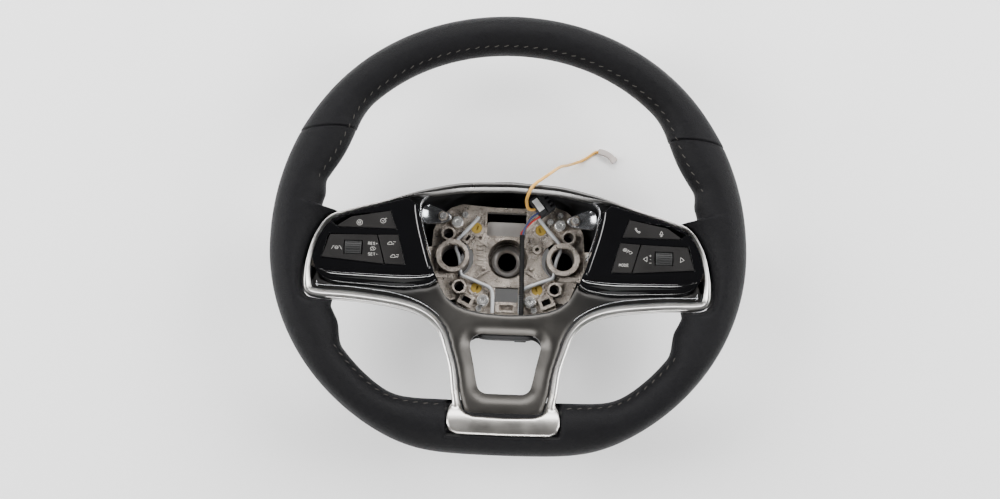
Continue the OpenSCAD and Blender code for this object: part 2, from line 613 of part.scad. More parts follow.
// Inside the pod: rubber mat, circuit board and the housing that carries them
mat_top = pivot_z - 1.2;
mat_t = 1.2;
board_t = 1.6;
board_z = mat_top - mat_t - board_t;
tray_outline = inset(pod_outline, pod_wall + 0.5);
inner_outline = inset(pod_outline, pod_wall + 3);
tray_z = board_z - 3;
module roller_well(grow) move_keys() at(roller_spot, board_z - 12)
  translate([-roller_len / 2 - 4 - grow, -roller_r - 1 - grow, 0])
    cube([roller_len + 8 + 2 * grow, 2 * (roller_r + 1 + grow), 30]);
module key_mat() color([0.75, 0.75, 0.72]) difference() {
  translate([0, 0, mat_top - mat_t]) linear_extrude(mat_t) polygon(inner_outline);
  roller_well(0);
  key_ribs(0.2, key_z);
}
module switch_board() color("darkgreen") difference() {
  translate([0, 0, board_z]) linear_extrude(board_t) polygon(inner_outline);
  roller_well(0);
  key_ribs(0.2, key_z);
}
fork_w = 2;
rib_w = 1.6;
// Fulcrum ribs under the keys, as centre and length along X and Y
ribs = [[upper_pivot, [rib_w, 5]], [[main_pivot[0], main_pivot[1] - 9.6], [rib_w, 2.4]],
  [[main_pivot[0], main_pivot[1] + 8.6], [rib_w, 1.6]], [inner_pivot, [9, rib_w]]];
module key_ribs(grow, top) move_keys() for (rib = ribs)
  at(rib[0] - rib[1] / 2 - [grow, grow], tray_z)
    cube([rib[1][0] + 2 * grow, rib[1][1] + 2 * grow, top - tray_z]);
module switch_housing() color([0.1, 0.1, 0.1]) difference() {
  union() {
    difference() {
      translate([0, 0, tray_z]) linear_extrude(board_z - tray_z + 1) polygon(tray_outline);
      translate([0, 0, board_z]) linear_extrude(10) polygon(inset(inner_outline, -0.2));
      roller_well(0);
    }
    // forks that carry the roller's axle
    for (side = [-1, 1]) move_keys()
      at([roller_spot[0] + side * (roller_len / 2 + 0.4 + fork_w / 2), roller_spot[1]], tray_z)
        translate([-fork_w / 2, -roller_r - 1, 0])
          cube([fork_w, 2 * roller_r + 2, roller_z - tray_z + roller_axle_r + 0.3]);
    key_ribs(0, pivot_z - gap);
  }
  move_keys() at(roller_spot, roller_z) rotate([0, 90, 0])
    translate([0, 0, -20]) cylinder(r = roller_axle_r + 0.05, h = 40);
}
module right_switch_bezel() switch_bezel();
module left_switch_bezel() mirror([1, 0, 0]) switch_bezel();
module right_upper_key() upper_key();
module left_upper_key() mirror([1, 0, 0]) upper_key();
module right_main_key() main_key();
module left_main_key() mirror([1, 0, 0]) main_key();
module right_inner_key() inner_key();
module left_inner_key() mirror([1, 0, 0]) inner_key();
module right_roller() roller();
module left_roller() mirror([1, 0, 0]) roller();
module right_key_mat() key_mat();
module left_key_mat() mirror([1, 0, 0]) key_mat();
module right_switch_board() switch_board();
module left_switch_board() mirror([1, 0, 0]) switch_board();
module right_switch_housing() switch_housing();
module left_switch_housing() mirror([1, 0, 0]) switch_housing();

// Tab of the trim that is screwed down beside the hub
tab_outline = concat(arc([52.4, 30.6], 6.6, 250, 100), [[66, 40.4], [70.2, 38], [68.6, 25.4], [64, 23.6]]);
module trim_bracket() color([0.6, 0.6, 0.62]) difference() {
  translate([0, 0, tab_z]) linear_extrude(tab_t) polygon(tab_outline);
  translate([0, 0, tab_z + tab_floor]) linear_extrude(tab_t) polygon(inset(tab_outline, 1.4));
  at(tab_spot, tab_z - 1) cylinder(r = 2.2, h = 8);
}
module right_trim_bracket() trim_bracket();
module left_trim_bracket() mirror([1, 0, 0]) trim_bracket();

// Back cover: a bowl that runs from the spoke outline to the round ring at the rear
cover_foot = bar_y + 29;
cover_step = 2;
cover_half = concat([for (i = [0:1:sample(18)]) concat(trim_edge(i, gap), trim_line[i][2] - trim_deep - gap)],
  [[30, cover_foot, crest - 4], [15, cover_foot, crest - 4], [0, cover_foot, crest - 4]]);
cover_top = concat([for (i = [len(cover_half) - 1:-1:0]) cover_half[i]],
  [for (i = [1:len(cover_half) - 2]) [-cover_half[i][0], cover_half[i][1], cover_half[i][2]]]);
cover_n = len(cover_top);
// Level of the bowl: share of the way to the circle, radius of the circle, height
cover_levels = [[0, ring_r, 0], [0.03, ring_r + 16, -12], [0.2, ring_r + 16, -22],
  [0.42, ring_r + 12, -31], [0.75, ring_r + 7, -44], [1, ring_r + 2, -58],
  [1, ring_r - 1, 3 - rim_z - cover_back], [1, ring_r - 3, -rim_z - cover_back]];
function cover_row(level, inside) = [for (p = cover_top)
  let (d = unit([p[0], p[1]]), r = level[1] - inside, k = level[0],
    edge = [p[0], p[1]] * (1 - inside / norm([p[0], p[1]])), xy = edge * (1 - k) + r * d * k)
  [xy[0], xy[1], level[2] == 0 ? p[2] : rim_z + level[2] + inside * (k > 0.05 ? 1 : 0)]];
ring_hole = 40;
cover_hole = [for (p = cover_top) unit([p[0], p[1]]) * ring_hole];
cover_last = len(cover_levels) - 1;
module cover_bowl() loft(concat(
  [for (level = cover_levels) cover_row(level, 0)],
  [[for (p = cover_hole) [p[0], p[1], -cover_back]], [for (p = cover_hole) [p[0], p[1], cover_t - cover_back]]],
  [for (i = [cover_last - 1:-1:0]) cover_row(cover_levels[i], cover_t)]), true);
module back_cover() color([0.07, 0.07, 0.07]) union() {
  difference() {
    cover_bowl();
    translate([0, 0, rim_z - 60]) linear_extrude(80) polygon(window(1.2));
    arm_ways(gap);
    leg_ways(gap);
  }
  // walls of the window tunnel
  difference() {
    translate([0, 0, rim_z - 22]) linear_extrude(18) polygon(window(2.6));
    translate([0, 0, rim_z - 23]) linear_extrude(30) polygon(window(0.8));
  }
  // posts that the small screws pull against
  for (spot = post_spots) at(spot, cover_t - cover_back - 0.5) difference() {
    cylinder(r = 4, h = hub_back - gap - cover_t + cover_back + 0.5);
    translate([0, 0, hub_back - cover_t + cover_back - 8]) cylinder(r = screw_r + thread_gap, h = 12);
  }
}

// Wiring: connector on the hub, two wires into the sleeve, sleeve down to its plug
connector_spot = [26.4, 43.8];
connector_tilt = -52;
connector_size = [17, 14, 12];
connector_z = hub_z + 5.6;
module connector_housing() color([0.05, 0.05, 0.05]) at(connector_spot, connector_z)
  rotate([0, 0, connector_tilt]) difference() {
    translate([-connector_size[0] / 2, -connector_size[1] / 2, 0]) cube(connector_size);
    for (i = [0:3]) translate([-6.8 + 3.8 * i, 3.6, 9]) cube([2, 5, 4]);
    translate([-10, -1.2, 10]) cube([20, 1, 4]);
  }
module connector_label() color([0.85, 0.85, 0.83]) at(connector_spot, connector_z)
  rotate([0, 0, connector_tilt]) translate([-6.4, -6.4, connector_size[2]]) cube([10.6, 5, 0.4]);
// Point on the connector's left face, a given way along it
function exit_at(along, z) = let (c = cos(connector_tilt), n = sin(connector_tilt))
  [connector_spot[0] + c * along + n * connector_size[1] / 2,
    connector_spot[1] + n * along - c * connector_size[1] / 2, z];
exit_way = [sin(connector_tilt), -cos(connector_tilt), 0];
loom_path = [[11, 19, hub_z + 7], [11, 14, hub_z + 7], [11.1, 8, hub_z + 7.2], [11.2, 0, hub_z + 7.8],
  [11.4, -8, hub_z + 8], [11.6, -16, hub_z + 8.2], [11.8, -24, hub_z + 8.2], [11.9, -32, hub_z + 8.2],
  [12, -40, hub_z + 8], [12.1, -46, hub_z + 7], [12.2, -51, hub_z + 4.4], [12.2, -55, hub_z + 2.6],
  [12.2, -57, hub_z + 2.6]];
module loom_sleeve() color([0.04, 0.04, 0.04]) loft(wire_rows(loom_path, loom_r, 8, [0, 0, 1]));
module loom_plug() color([0.08, 0.08, 0.08]) translate([7.6, -67, hub_z - 0.8]) cube([9.2, 10, 7]);
wire_red_path = [exit_at(6.4, hub_z + 10), exit_at(6.4, hub_z + 10) + 1.6 * exit_way,
  [18.4, 29.6, hub_z + 9.6], [15, 26.2, hub_z + 8.4], [11.6, 22.8, hub_z + 6.8],
  [10.2, 20.6, hub_z + 6.3], [10.2, 19, hub_z + 6.3]];
wire_blue_path = [exit_at(3.6, hub_z + 13), exit_at(3.6, hub_z + 13) + 1.6 * exit_way,
  [17.8, 32.6, hub_z + 12.8], [15, 28, hub_z + 11.8], [12.6, 23.6, hub_z + 9.8],
  [11.8, 20.6, hub_z + 8], [11.8, 19, hub_z + 8]];
module wire_red() color("firebrick") loft(wire_rows(wire_red_path, strand_r, 8, [0, 0, 1]));
module wire_blue() color("midnightblue") loft(wire_rows(wire_blue_path, strand_r, 8, [0, 0, 1]));

// Airbag lead: out of the connector, over the top arch and down to the surface
lead_low = lead_r - cover_back;
lead_path = [exit_at(-1, 60), exit_at(-1, 60) + 1.6 * exit_way, [15.4, 39.4, 62], [14, 40.6, 66],
  [13.3, 42, 72], [12.9, 42.8, 78], [12.9, 43.3, 84], [13.3, 44.4, 89], [14.3, 46.4, 93.2],
  [16.3, 50, 96.2], [19.5, 53.3, 97.2], [22.9, 55.9, 96.9], [26.6, 59.2, 94.4], [30, 62.8, 89],
  [34, 67.8, 79], [38, 73.3, 66], [41.6, 78, 52], [45, 82.2, 37], [48.6, 86.4, 22], [52.6, 90.4, 9.5],
  [57, 94, 0.5], [61.4, 96.8, lead_low + 0.8], [66, 99.5, lead_low], [70.4, 102.8, lead_low],
  [73.4, 105, lead_low], [75, 105.75, lead_low], [76.6, 105.69, lead_low]];
module airbag_lead() color([0.85, 0.62, 0.25]) loft(wire_rows(lead_path, lead_r, 8, [1, 0, 0]));
module lead_plug() color([0.72, 0.68, 0.66]) translate([76, 88.5, -cover_back]) rotate([0, 0, 40])
  union() {
    rotate_extrude(angle = 48) translate([14.9, 0]) square([4.6, 4.4]);
    translate([14.4, -3, 0]) cube([5.6, 3.4, 5]);
  }

armature();
column_bush();
rim_hoop();
rim_foam();
leather_upper();
leather_lower();
trim_frame();
lower_bezel();
back_cover();
left_switch_bezel();
right_switch_bezel();
left_upper_key();
right_upper_key();
left_main_key();
right_main_key();
left_inner_key();
right_inner_key();
left_roller();
right_roller();
left_key_mat();
right_key_mat();
left_switch_board();
right_switch_board();
left_switch_housing();
right_switch_housing();
left_trim_bracket();
right_trim_bracket();
left_retaining_spring();
right_retaining_spring();
spring_buttons();
hex_bolts();
small_screws();
loom_sleeve();
loom_plug();
wire_red();
wire_blue();
connector_housing();
connector_label();
airbag_lead();
lead_plug();
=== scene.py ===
"""Looks of the car steering wheel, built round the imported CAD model.

Shapes are worked out in millimetres and turned to metres by MM where a mesh is made. Finishes,
the roundings of CAD pieces, the camera, the lights and the floor are in metres. The wheel lies on
its back: +Z runs towards the driver, +Y to twelve o'clock and +X to the driver's right.
"""

import logging
import math
from dataclasses import dataclass
from enum import Enum
from typing import Callable, Optional, Sequence

import bmesh
import bpy
import numpy as np
from mathutils import Matrix, Vector


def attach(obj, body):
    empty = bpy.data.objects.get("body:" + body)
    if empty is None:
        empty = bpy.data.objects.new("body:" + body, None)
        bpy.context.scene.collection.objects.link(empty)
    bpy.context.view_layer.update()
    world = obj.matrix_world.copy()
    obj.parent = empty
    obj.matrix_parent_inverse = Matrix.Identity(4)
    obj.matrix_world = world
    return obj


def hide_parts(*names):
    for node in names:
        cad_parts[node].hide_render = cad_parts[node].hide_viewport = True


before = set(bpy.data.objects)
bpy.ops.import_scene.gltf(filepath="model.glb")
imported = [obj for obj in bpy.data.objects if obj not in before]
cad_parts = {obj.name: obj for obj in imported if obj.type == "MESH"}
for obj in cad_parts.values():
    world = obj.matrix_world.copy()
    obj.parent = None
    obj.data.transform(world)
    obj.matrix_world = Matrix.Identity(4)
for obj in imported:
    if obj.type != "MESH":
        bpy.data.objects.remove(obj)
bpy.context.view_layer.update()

log = logging.getLogger("steering_wheel")
MM = 0.001
ROOT = "wheel"
BAR_ARC_Y = -137.0
BAR_ARC_Z = 82.2
Colour = tuple[float, float, float]


class Side(Enum):
    """Which side of the wheel a mirrored piece belongs to."""

    LEFT = -1
    RIGHT = 1


# Curves and grids


def smoothstep(t: np.ndarray) -> np.ndarray:
    """Cubic ease from 0 to 1, flat outside: c * c * (3 - 2 * c) with c = t held to 0..1."""
    c = np.clip(t, 0.0, 1.0)
    return c * c * (3.0 - 2.0 * c)


def spline(points: Sequence[Sequence[float]], steps: int, closed: bool = False) -> np.ndarray:
    """Catmull-Rom curve through the points.

    Each piece between points 1 and 2 of four neighbours is the usual cubic, half of
    2p1 + (p2 - p0) t + (2p0 - 5p1 + 4p2 - p3) t^2 + (3p1 - p0 - 3p2 + p3) t^3.

    Args:
        points: control points, any dimension.
        steps: samples for each piece.
        closed: whether the last point joins the first.

    Returns:
        The samples, one row each.
    """
    p = np.asarray(points, float)
    n = len(p)
    i = np.arange(n if closed else n - 1)
    pick = (lambda k: p[k % n]) if closed else (lambda k: p[np.clip(k, 0, n - 1)])
    a, b, c, d = (pick(i + k)[:, None, :] for k in (-1, 0, 1, 2))
    t = (np.arange(steps) / steps)[None, :, None]
    out = 0.5 * (2 * b + (c - a) * t + (2 * a - 5 * b + 4 * c - d) * t**2 + (3 * b - a - 3 * c + d) * t**3)
    out = out.reshape(-1, p.shape[1])
    return out if closed else np.vstack([out, p[-1]])


def even(path: np.ndarray, count: int) -> np.ndarray:
    """The same line with its points at even spacing, read off by length along it.

    Args:
        path: points in order, one row each.
        count: how many points the result has.

    Returns:
        The new points.
    """
    step = np.r_[0.0, np.cumsum(np.linalg.norm(np.diff(path, axis=0), axis=1))]
    want = np.linspace(0.0, step[-1], count)
    return np.stack([np.interp(want, step, path[:, k]) for k in range(path.shape[1])], axis=1)


def arc_height(y: np.ndarray, r: float) -> np.ndarray:
    """Height in millimetres of the bottom bar's arc of radius r: z0 + sqrt(r^2 - (y - y0)^2)."""
    return BAR_ARC_Z + np.sqrt(np.maximum(0.0, r * r - np.minimum(r, np.abs(y - BAR_ARC_Y)) ** 2))


def length_of(path: np.ndarray) -> float:
    """Length of a line of points."""
    return float(np.linalg.norm(np.diff(path, axis=0), axis=1).sum())


def mesh_object(
    name: str, points: np.ndarray, faces: Sequence[Sequence[int]], smooth: bool = True
) -> bpy.types.Object:
    """A linked object from points and faces, with outward normals left as the faces give them.

    Args:
        name: the piece's name.
        points: vertices in metres.
        faces: vertex numbers of each face.
        smooth: whether its faces are shaded smooth.

    Returns:
        The new object.
    """
    mesh = bpy.data.meshes.new(name)
    mesh.from_pydata(points.tolist(), [], [list(f) for f in faces])
    mesh.update()
    mesh.shade_smooth() if smooth else mesh.shade_flat()
    obj = bpy.data.objects.new(name, mesh)
    bpy.context.scene.collection.objects.link(obj)
    return obj


def grid_faces(rows: int, cols: int, wrap_rows: bool, wrap_cols: bool) -> np.ndarray:
    """Quads of a grid of points: row i, column j to the next row and column.

    Args:
        rows: rows of the grid.
        cols: columns of the grid.
        wrap_rows: whether the last row joins the first.
        wrap_cols: whether the last column joins the first.

    Returns:
        Four vertex numbers for each quad.
    """
    i = np.arange(rows if wrap_rows else rows - 1)[:, None]
    j = np.arange(cols if wrap_cols else cols - 1)[None, :]
    i2, j2 = (i + 1) % rows, (j + 1) % cols
    return np.stack([i * cols + j, i * cols + j2, i2 * cols + j2, i2 * cols + j], axis=-1).reshape(-1, 4)


def grid_object(
    name: str, grid: np.ndarray, wrap_rows: bool = False, wrap_cols: bool = True, capped: bool = True
) -> bpy.types.Object:
    """A surface from a grid of points (rows, columns, xyz), with its normals turned outwards.

    Args:
        name: the piece's name.
        grid: points in metres.
        wrap_rows: whether the last row joins the first.
        wrap_cols: whether each row is a closed ring.
        capped: whether the two end rings are closed by one face each.

    Returns:
        The new object.
    """
    rows, cols = grid.shape[:2]
    faces = grid_faces(rows, cols, wrap_rows, wrap_cols).tolist()
    if capped and wrap_cols and not wrap_rows:
        faces += [list(range(cols))[::-1], [(rows - 1) * cols + k for k in range(cols)]]
    obj = mesh_object(name, grid.reshape(-1, 3), faces)
    face_out(obj)
    return obj


def face_out(obj: bpy.types.Object) -> None:
    """Turns all faces of a closed mesh outwards."""
    bm = bmesh.new()
    bm.from_mesh(obj.data)
    bmesh.ops.recalc_face_normals(bm, faces=bm.faces)
    bm.to_mesh(obj.data)
    bm.free()


def sharpen(obj: bpy.types.Object, degrees: float) -> None:
    """Marks edges steeper than an angle as sharp, so that flats stay flat."""
    obj.data.set_sharp_from_angle(angle=math.radians(degrees))


def tube_grid(path: np.ndarray, radius: np.ndarray | float, sides: int) -> np.ndarray:
    """Rings round a line: each point is centre + radius * (cos s * u + sin s * v).

    u is square to the line and to a reference that is carried along by parallel transport, so
    the tube doesn't twist, and v is square to both.

    Args:
        path: points of the centre line.
        radius: one radius, or one for each point.
        sides: points of each ring.

    Returns:
        Grid of points, one ring a row.
    """
    t = np.gradient(path, axis=0)
    t /= np.linalg.norm(t, axis=1, keepdims=True)
    u = np.zeros_like(t)
    start = np.cross(t[0], [0.0, 0.0, 1.0])
    if np.linalg.norm(start) < 0.2:
        start = np.cross(t[0], [0.0, 1.0, 0.0])
    u[0] = start / np.linalg.norm(start)
    for k in range(1, len(t)):
        w = u[k - 1] - np.dot(u[k - 1], t[k]) * t[k]
        u[k] = w / np.linalg.norm(w)
    v = np.cross(t, u)
    s = np.linspace(0.0, 2.0 * np.pi, sides, endpoint=False)[None, :, None]
    r = np.broadcast_to(np.asarray(radius, float), (len(path),))[:, None, None]
    return path[:, None, :] + r * (np.cos(s) * u[:, None, :] + np.sin(s) * v[:, None, :])


def ribbon(name: str, lines: Sequence[np.ndarray], width: float, z: float) -> bpy.types.Object:
    """Flat printed strokes on a level: each line of x, y points becomes a band of the given width.

    The band's two edges are the line moved by half the width along its own normal.

    Args:
        name: the piece's name.
        lines: the strokes' points in metres.
        width: width of a stroke.
        z: height of all strokes.

    Returns:
        The new object.
    """
    points, faces, base = [], [], 0
    for line in (even(each, 12 * len(each)) for each in lines):
        t = np.gradient(line, axis=0)
        t /= np.linalg.norm(t, axis=1, keepdims=True) + 1e-12
        n = np.stack([-t[:, 1], t[:, 0]], axis=1) * width / 2
        band = np.stack([line + n, line - n], axis=1).reshape(-1, 2)
        points.append(np.c_[band, np.full(len(band), z)])
        k = base + 2 * np.arange(len(line) - 1)
        faces += np.stack([k, k + 1, k + 3, k + 2], axis=1).tolist()
        base += len(band)
    obj = mesh_object(name, np.vstack(points), faces, smooth=False)
    flat_up(obj)
    return obj


def flat_up(obj: bpy.types.Object) -> None:
    """Turns each flat face towards +Z."""
    bm = bmesh.new()
    bm.from_mesh(obj.data)
    for face in bm.faces:
        if face.normal.z < 0:
            face.normal_flip()
    bm.to_mesh(obj.data)
    bm.free()


# Finishes


class Nodes:
    """A short way to write a material's node tree."""

    def __init__(self, tree: bpy.types.NodeTree) -> None:
        """Keeps the tree that is written to."""
        self.tree = tree

    def add(self, kind: str, inputs: Optional[dict] = None, **settings: object) -> bpy.types.Node:
        """Adds a node, sets its properties, and sets or links its inputs.

        Args:
            kind: Blender's node type.
            inputs: socket name or index to a value or to another node's socket.
            settings: node properties.

        Returns:
            The node.
        """
        node = self.tree.nodes.new(kind)
        for key, value in settings.items():
            setattr(node, key, value)
        for key, value in (inputs or {}).items():
            if isinstance(value, bpy.types.NodeSocket):
                self.tree.links.new(value, node.inputs[key])
            else:
                node.inputs[key].default_value = value
        return node

    def mix(self, mask: object, low: object, high: object) -> bpy.types.NodeSocket:
        """Colour between low and high by a mask."""
        node = self.tree.nodes.new("ShaderNodeMix")
        node.data_type = "RGBA"
        for index, value in ((0, mask), (6, low), (7, high)):
            if isinstance(value, bpy.types.NodeSocket):
                self.tree.links.new(value, node.inputs[index])
            else:
                node.inputs[index].default_value = value
        return node.outputs[2]

    def span(self, value: object, a: float, b: float, c: float, d: float) -> bpy.types.NodeSocket:
        """Maps a value from a..b to c..d and holds it there."""
        return self.add(
            "ShaderNodeMapRange", {"Value": value, "From Min": a, "From Max": b, "To Min": c, "To Max": d}
        ).outputs["Result"]

    def bump(
        self, height: object, strength: float, distance: float, normal: object = None
    ) -> bpy.types.NodeSocket:
        """Normal from a height."""
        inputs = {"Height": height, "Strength": strength, "Distance": distance}
        if normal is not None:
            inputs["Normal"] = normal
        return self.add("ShaderNodeBump", inputs).outputs["Normal"]


def rgba(colour: Colour) -> tuple[float, float, float, float]:
    """Colour with full alpha."""
    return (*colour, 1.0)


def group(name: str, inputs: Sequence[tuple[str, str, object]], outputs: Sequence[tuple[str, str]]) -> tuple:
    """A new node group with named sockets.

    Args:
        name: the group's name.
        inputs: (name, socket type, default).
        outputs: (name, socket type).

    Returns:
        The tree, its writer, its input node and its output node.
    """
    tree = bpy.data.node_groups.new(name, "ShaderNodeTree")
    for label, kind, default in inputs:
        socket = tree.interface.new_socket(name=label, in_out="INPUT", socket_type=kind)
        socket.default_value = default
    for label, kind in outputs:
        tree.interface.new_socket(name=label, in_out="OUTPUT", socket_type=kind)
    nodes = Nodes(tree)
    return tree, nodes, nodes.add("NodeGroupInput"), nodes.add("NodeGroupOutput")


def pebble_group() -> bpy.types.NodeTree:
    """Leather grain: rounded cells with creases between them, fine noise on top, and a mask of painted shade in
    the creases.
    """
    tree, n, given, out = group(
        "pebble grain",
        [("Scale", "NodeSocketFloat", 900.0), ("Crease", "NodeSocketFloat", 0.5)],
        [("Height", "NodeSocketFloat"), ("Crease Shade Mask", "NodeSocketFloat")],
    )
    place = n.add("ShaderNodeTexCoord").outputs["Object"]
    warp = n.add("ShaderNodeTexNoise", {"Vector": place, "Scale": 260.0, "Detail": 2.0})
    reach = (0.0016, 0.0016, 0.0016)
    bent = n.add("ShaderNodeVectorMath", {0: warp.outputs["Color"], 1: reach}, operation="MULTIPLY")
    moved = n.add("ShaderNodeVectorMath", {0: place, 1: bent.outputs[0]}, operation="ADD")
    cells = n.add(
        "ShaderNodeTexVoronoi",
        {"Vector": moved.outputs[0], "Scale": given.outputs["Scale"]},
        feature="DISTANCE_TO_EDGE",
    )
    domes = n.add(
        "ShaderNodeMapRange",
        {"Value": cells.outputs["Distance"], "From Max": 0.32},
        interpolation_type="SMOOTHSTEP",
    )
    fine = n.add("ShaderNodeTexNoise", {"Vector": place, "Scale": 5200.0, "Detail": 3.0})
    soft = n.add("ShaderNodeMath", {0: fine.outputs["Fac"], 1: 0.25}, operation="MULTIPLY")
    height = n.add("ShaderNodeMath", {0: domes.outputs["Result"], 1: soft.outputs[0]}, operation="ADD")
    # mask of painted shade along the cells' edges
    crease = n.add(
        "ShaderNodeMapRange",
        {
            "Value": cells.outputs["Distance"],
            "From Max": 0.1,
            "To Min": given.outputs["Crease"],
            "To Max": 0.0,
        },
    )
    tree.links.new(height.outputs[0], out.inputs["Height"])
    tree.links.new(crease.outputs["Result"], out.inputs["Crease Shade Mask"])
    return tree


def mottle_group() -> bpy.types.NodeTree:
    """Large and small cloudy variation, as handling and dust leave on any surface."""
    tree, n, given, out = group(
        "mottle",
        [("Large", "NodeSocketFloat", 30.0), ("Small", "NodeSocketFloat", 600.0)],
        [("Cloud", "NodeSocketFloat"), ("Speckle", "NodeSocketFloat")],
    )
    place = n.add("ShaderNodeTexCoord").outputs["Object"]
    cloud = n.add("ShaderNodeTexNoise", {"Vector": place, "Scale": given.outputs["Large"], "Detail": 4.0})
    speckle = n.add("ShaderNodeTexNoise", {"Vector": place, "Scale": given.outputs["Small"], "Detail": 6.0})
    tree.links.new(n.span(cloud.outputs["Fac"], 0.3, 0.7, 0.0, 1.0), out.inputs["Cloud"])
    tree.links.new(n.span(speckle.outputs["Fac"], 0.35, 0.65, 0.0, 1.0), out.inputs["Speckle"])
    return tree


def brushed_group() -> bpy.types.NodeTree:
    """Fine straight brushing: noise drawn out a hundred times along one axis."""
    tree, n, given, out = group(
        "brushing",
        [("Across", "NodeSocketVector", (900.0, 14.0, 14.0))],
        [("Streak", "NodeSocketFloat")],
    )
    place = n.add("ShaderNodeTexCoord").outputs["Object"]
    drawn = n.add("ShaderNodeVectorMath", {0: place, 1: given.outputs["Across"]}, operation="MULTIPLY")
    streak = n.add(
        "ShaderNodeTexNoise", {"Vector": drawn.outputs[0], "Scale": 3.0, "Detail": 5.0, "Roughness": 0.6}
    )
    tree.links.new(n.span(streak.outputs["Fac"], 0.3, 0.7, 0.0, 1.0), out.inputs["Streak"])
    return tree


GROUPS: dict[str, bpy.types.NodeTree] = {}


def shared(name: str, maker: Callable[[], bpy.types.NodeTree]) -> bpy.types.NodeTree:
    """The node group of that name, made once."""
    if name not in GROUPS:
        GROUPS[name] = maker()
    return GROUPS[name]


@dataclass(frozen=True)
class Finish:
    """Base of all finishes: a plain coloured surface with cloudy wear.

    Attributes:
        name: the material's name.
        colour: base colour.
        roughness: middle roughness.
        metallic: 0 for plastics, 1 for metals.
        coat: clear coat weight.
        drift: how far the colour swings between its darker and lighter places.
        shine: specular level, 0.5 for an ordinary smooth plastic.
        grain: depth in metres of the surface grain.
        grain_scale: size of that grain, in cells a metre.
        glow: strength of its own even light.
    """

    name: str
    colour: Colour
    roughness: float = 0.5
    metallic: float = 0.0
    coat: float = 0.0
    drift: float = 0.12
    grain: float = 0.0
    grain_scale: float = 900.0
    shine: float = 0.5
    glow: float = 0.0

    def build(self) -> bpy.types.Material:
        """The material, made once and then reused."""
        known = bpy.data.materials.get(self.name)
        if known is not None and known.get("made_here"):
            return known
        material = bpy.data.materials.new(self.name)
        material["made_here"] = True
        material.use_nodes = True
        tree = material.node_tree
        nodes = Nodes(tree)
        shader = tree.nodes["Principled BSDF"]
        shader.inputs["Metallic"].default_value = self.metallic
        shader.inputs["Coat Weight"].default_value = self.coat
        shader.inputs["Specular IOR Level"].default_value = self.shine
        shader.inputs["Coat Roughness"].default_value = 0.06
        if self.glow > 0:
            shader.inputs["Emission Color"].default_value = rgba(self.colour)
            shader.inputs["Emission Strength"].default_value = self.glow
        self.paint(tree, nodes, shader)
        return material

    def tones(self) -> tuple[Colour, Colour]:
        """Darker and lighter ends of the colour."""
        low = tuple(c * (1.0 - self.drift) for c in self.colour)
        high = tuple(min(1.0, c * (1.0 + self.drift)) for c in self.colour)
        return low, high

    def paint(self, tree: bpy.types.NodeTree, nodes: Nodes, shader: bpy.types.Node) -> None:
        """Cloudy colour and roughness, with fine grain where it is asked for."""
        mottle = nodes.add("ShaderNodeGroup", node_tree=shared("mottle", mottle_group))
        mottle.inputs["Large"].default_value = 60.0
        mottle.inputs["Small"].default_value = self.grain_scale
        low, high = self.tones()
        tree.links.new(nodes.mix(mottle.outputs["Cloud"], rgba(low), rgba(high)), shader.inputs["Base Color"])
        dull = min(1.0, self.roughness * 1.14)
        rough = nodes.span(mottle.outputs["Cloud"], 0.0, 1.0, self.roughness * 0.86, dull)
        tree.links.new(rough, shader.inputs["Roughness"])
        if self.grain > 0:
            normal = nodes.bump(mottle.outputs["Speckle"], 0.6, self.grain)
            tree.links.new(normal, shader.inputs["Normal"])


@dataclass(frozen=True)
class Leather(Finish):
    """Grained leather, a little shinier where hands rest."""

    # strength of the painted shade in the grain's creases
    crease: float = 0.45

    def paint(self, tree: bpy.types.NodeTree, nodes: Nodes, shader: bpy.types.Node) -> None:
        """Pebble grain in the normal, painted shade darkening the creases, and cloudy shine."""
        grain = nodes.add("ShaderNodeGroup", node_tree=shared("pebble grain", pebble_group))
        grain.inputs["Scale"].default_value = self.grain_scale
        grain.inputs["Crease"].default_value = self.crease
        mottle = nodes.add("ShaderNodeGroup", node_tree=shared("mottle", mottle_group))
        mottle.inputs["Large"].default_value = 22.0
        mottle.inputs["Small"].default_value = 420.0
        low, high = self.tones()
        worn = nodes.mix(mottle.outputs["Cloud"], rgba(low), rgba(high))
        # painted shade: the creases are darkened towards 0.4 of the colour
        dark = tuple(c * 0.4 for c in self.colour)
        tree.links.new(nodes.mix(grain.outputs["Crease Shade Mask"], worn, rgba(dark)), shader.inputs["Base Color"])
        rough = nodes.span(mottle.outputs["Cloud"], 0.0, 1.0, self.roughness - 0.06, self.roughness + 0.06)
        tree.links.new(rough, shader.inputs["Roughness"])
        wrinkle = nodes.bump(mottle.outputs["Speckle"], 0.25, 0.0004)
        normal = nodes.bump(grain.outputs["Height"], 0.55, self.grain, wrinkle)
        tree.links.new(normal, shader.inputs["Normal"])


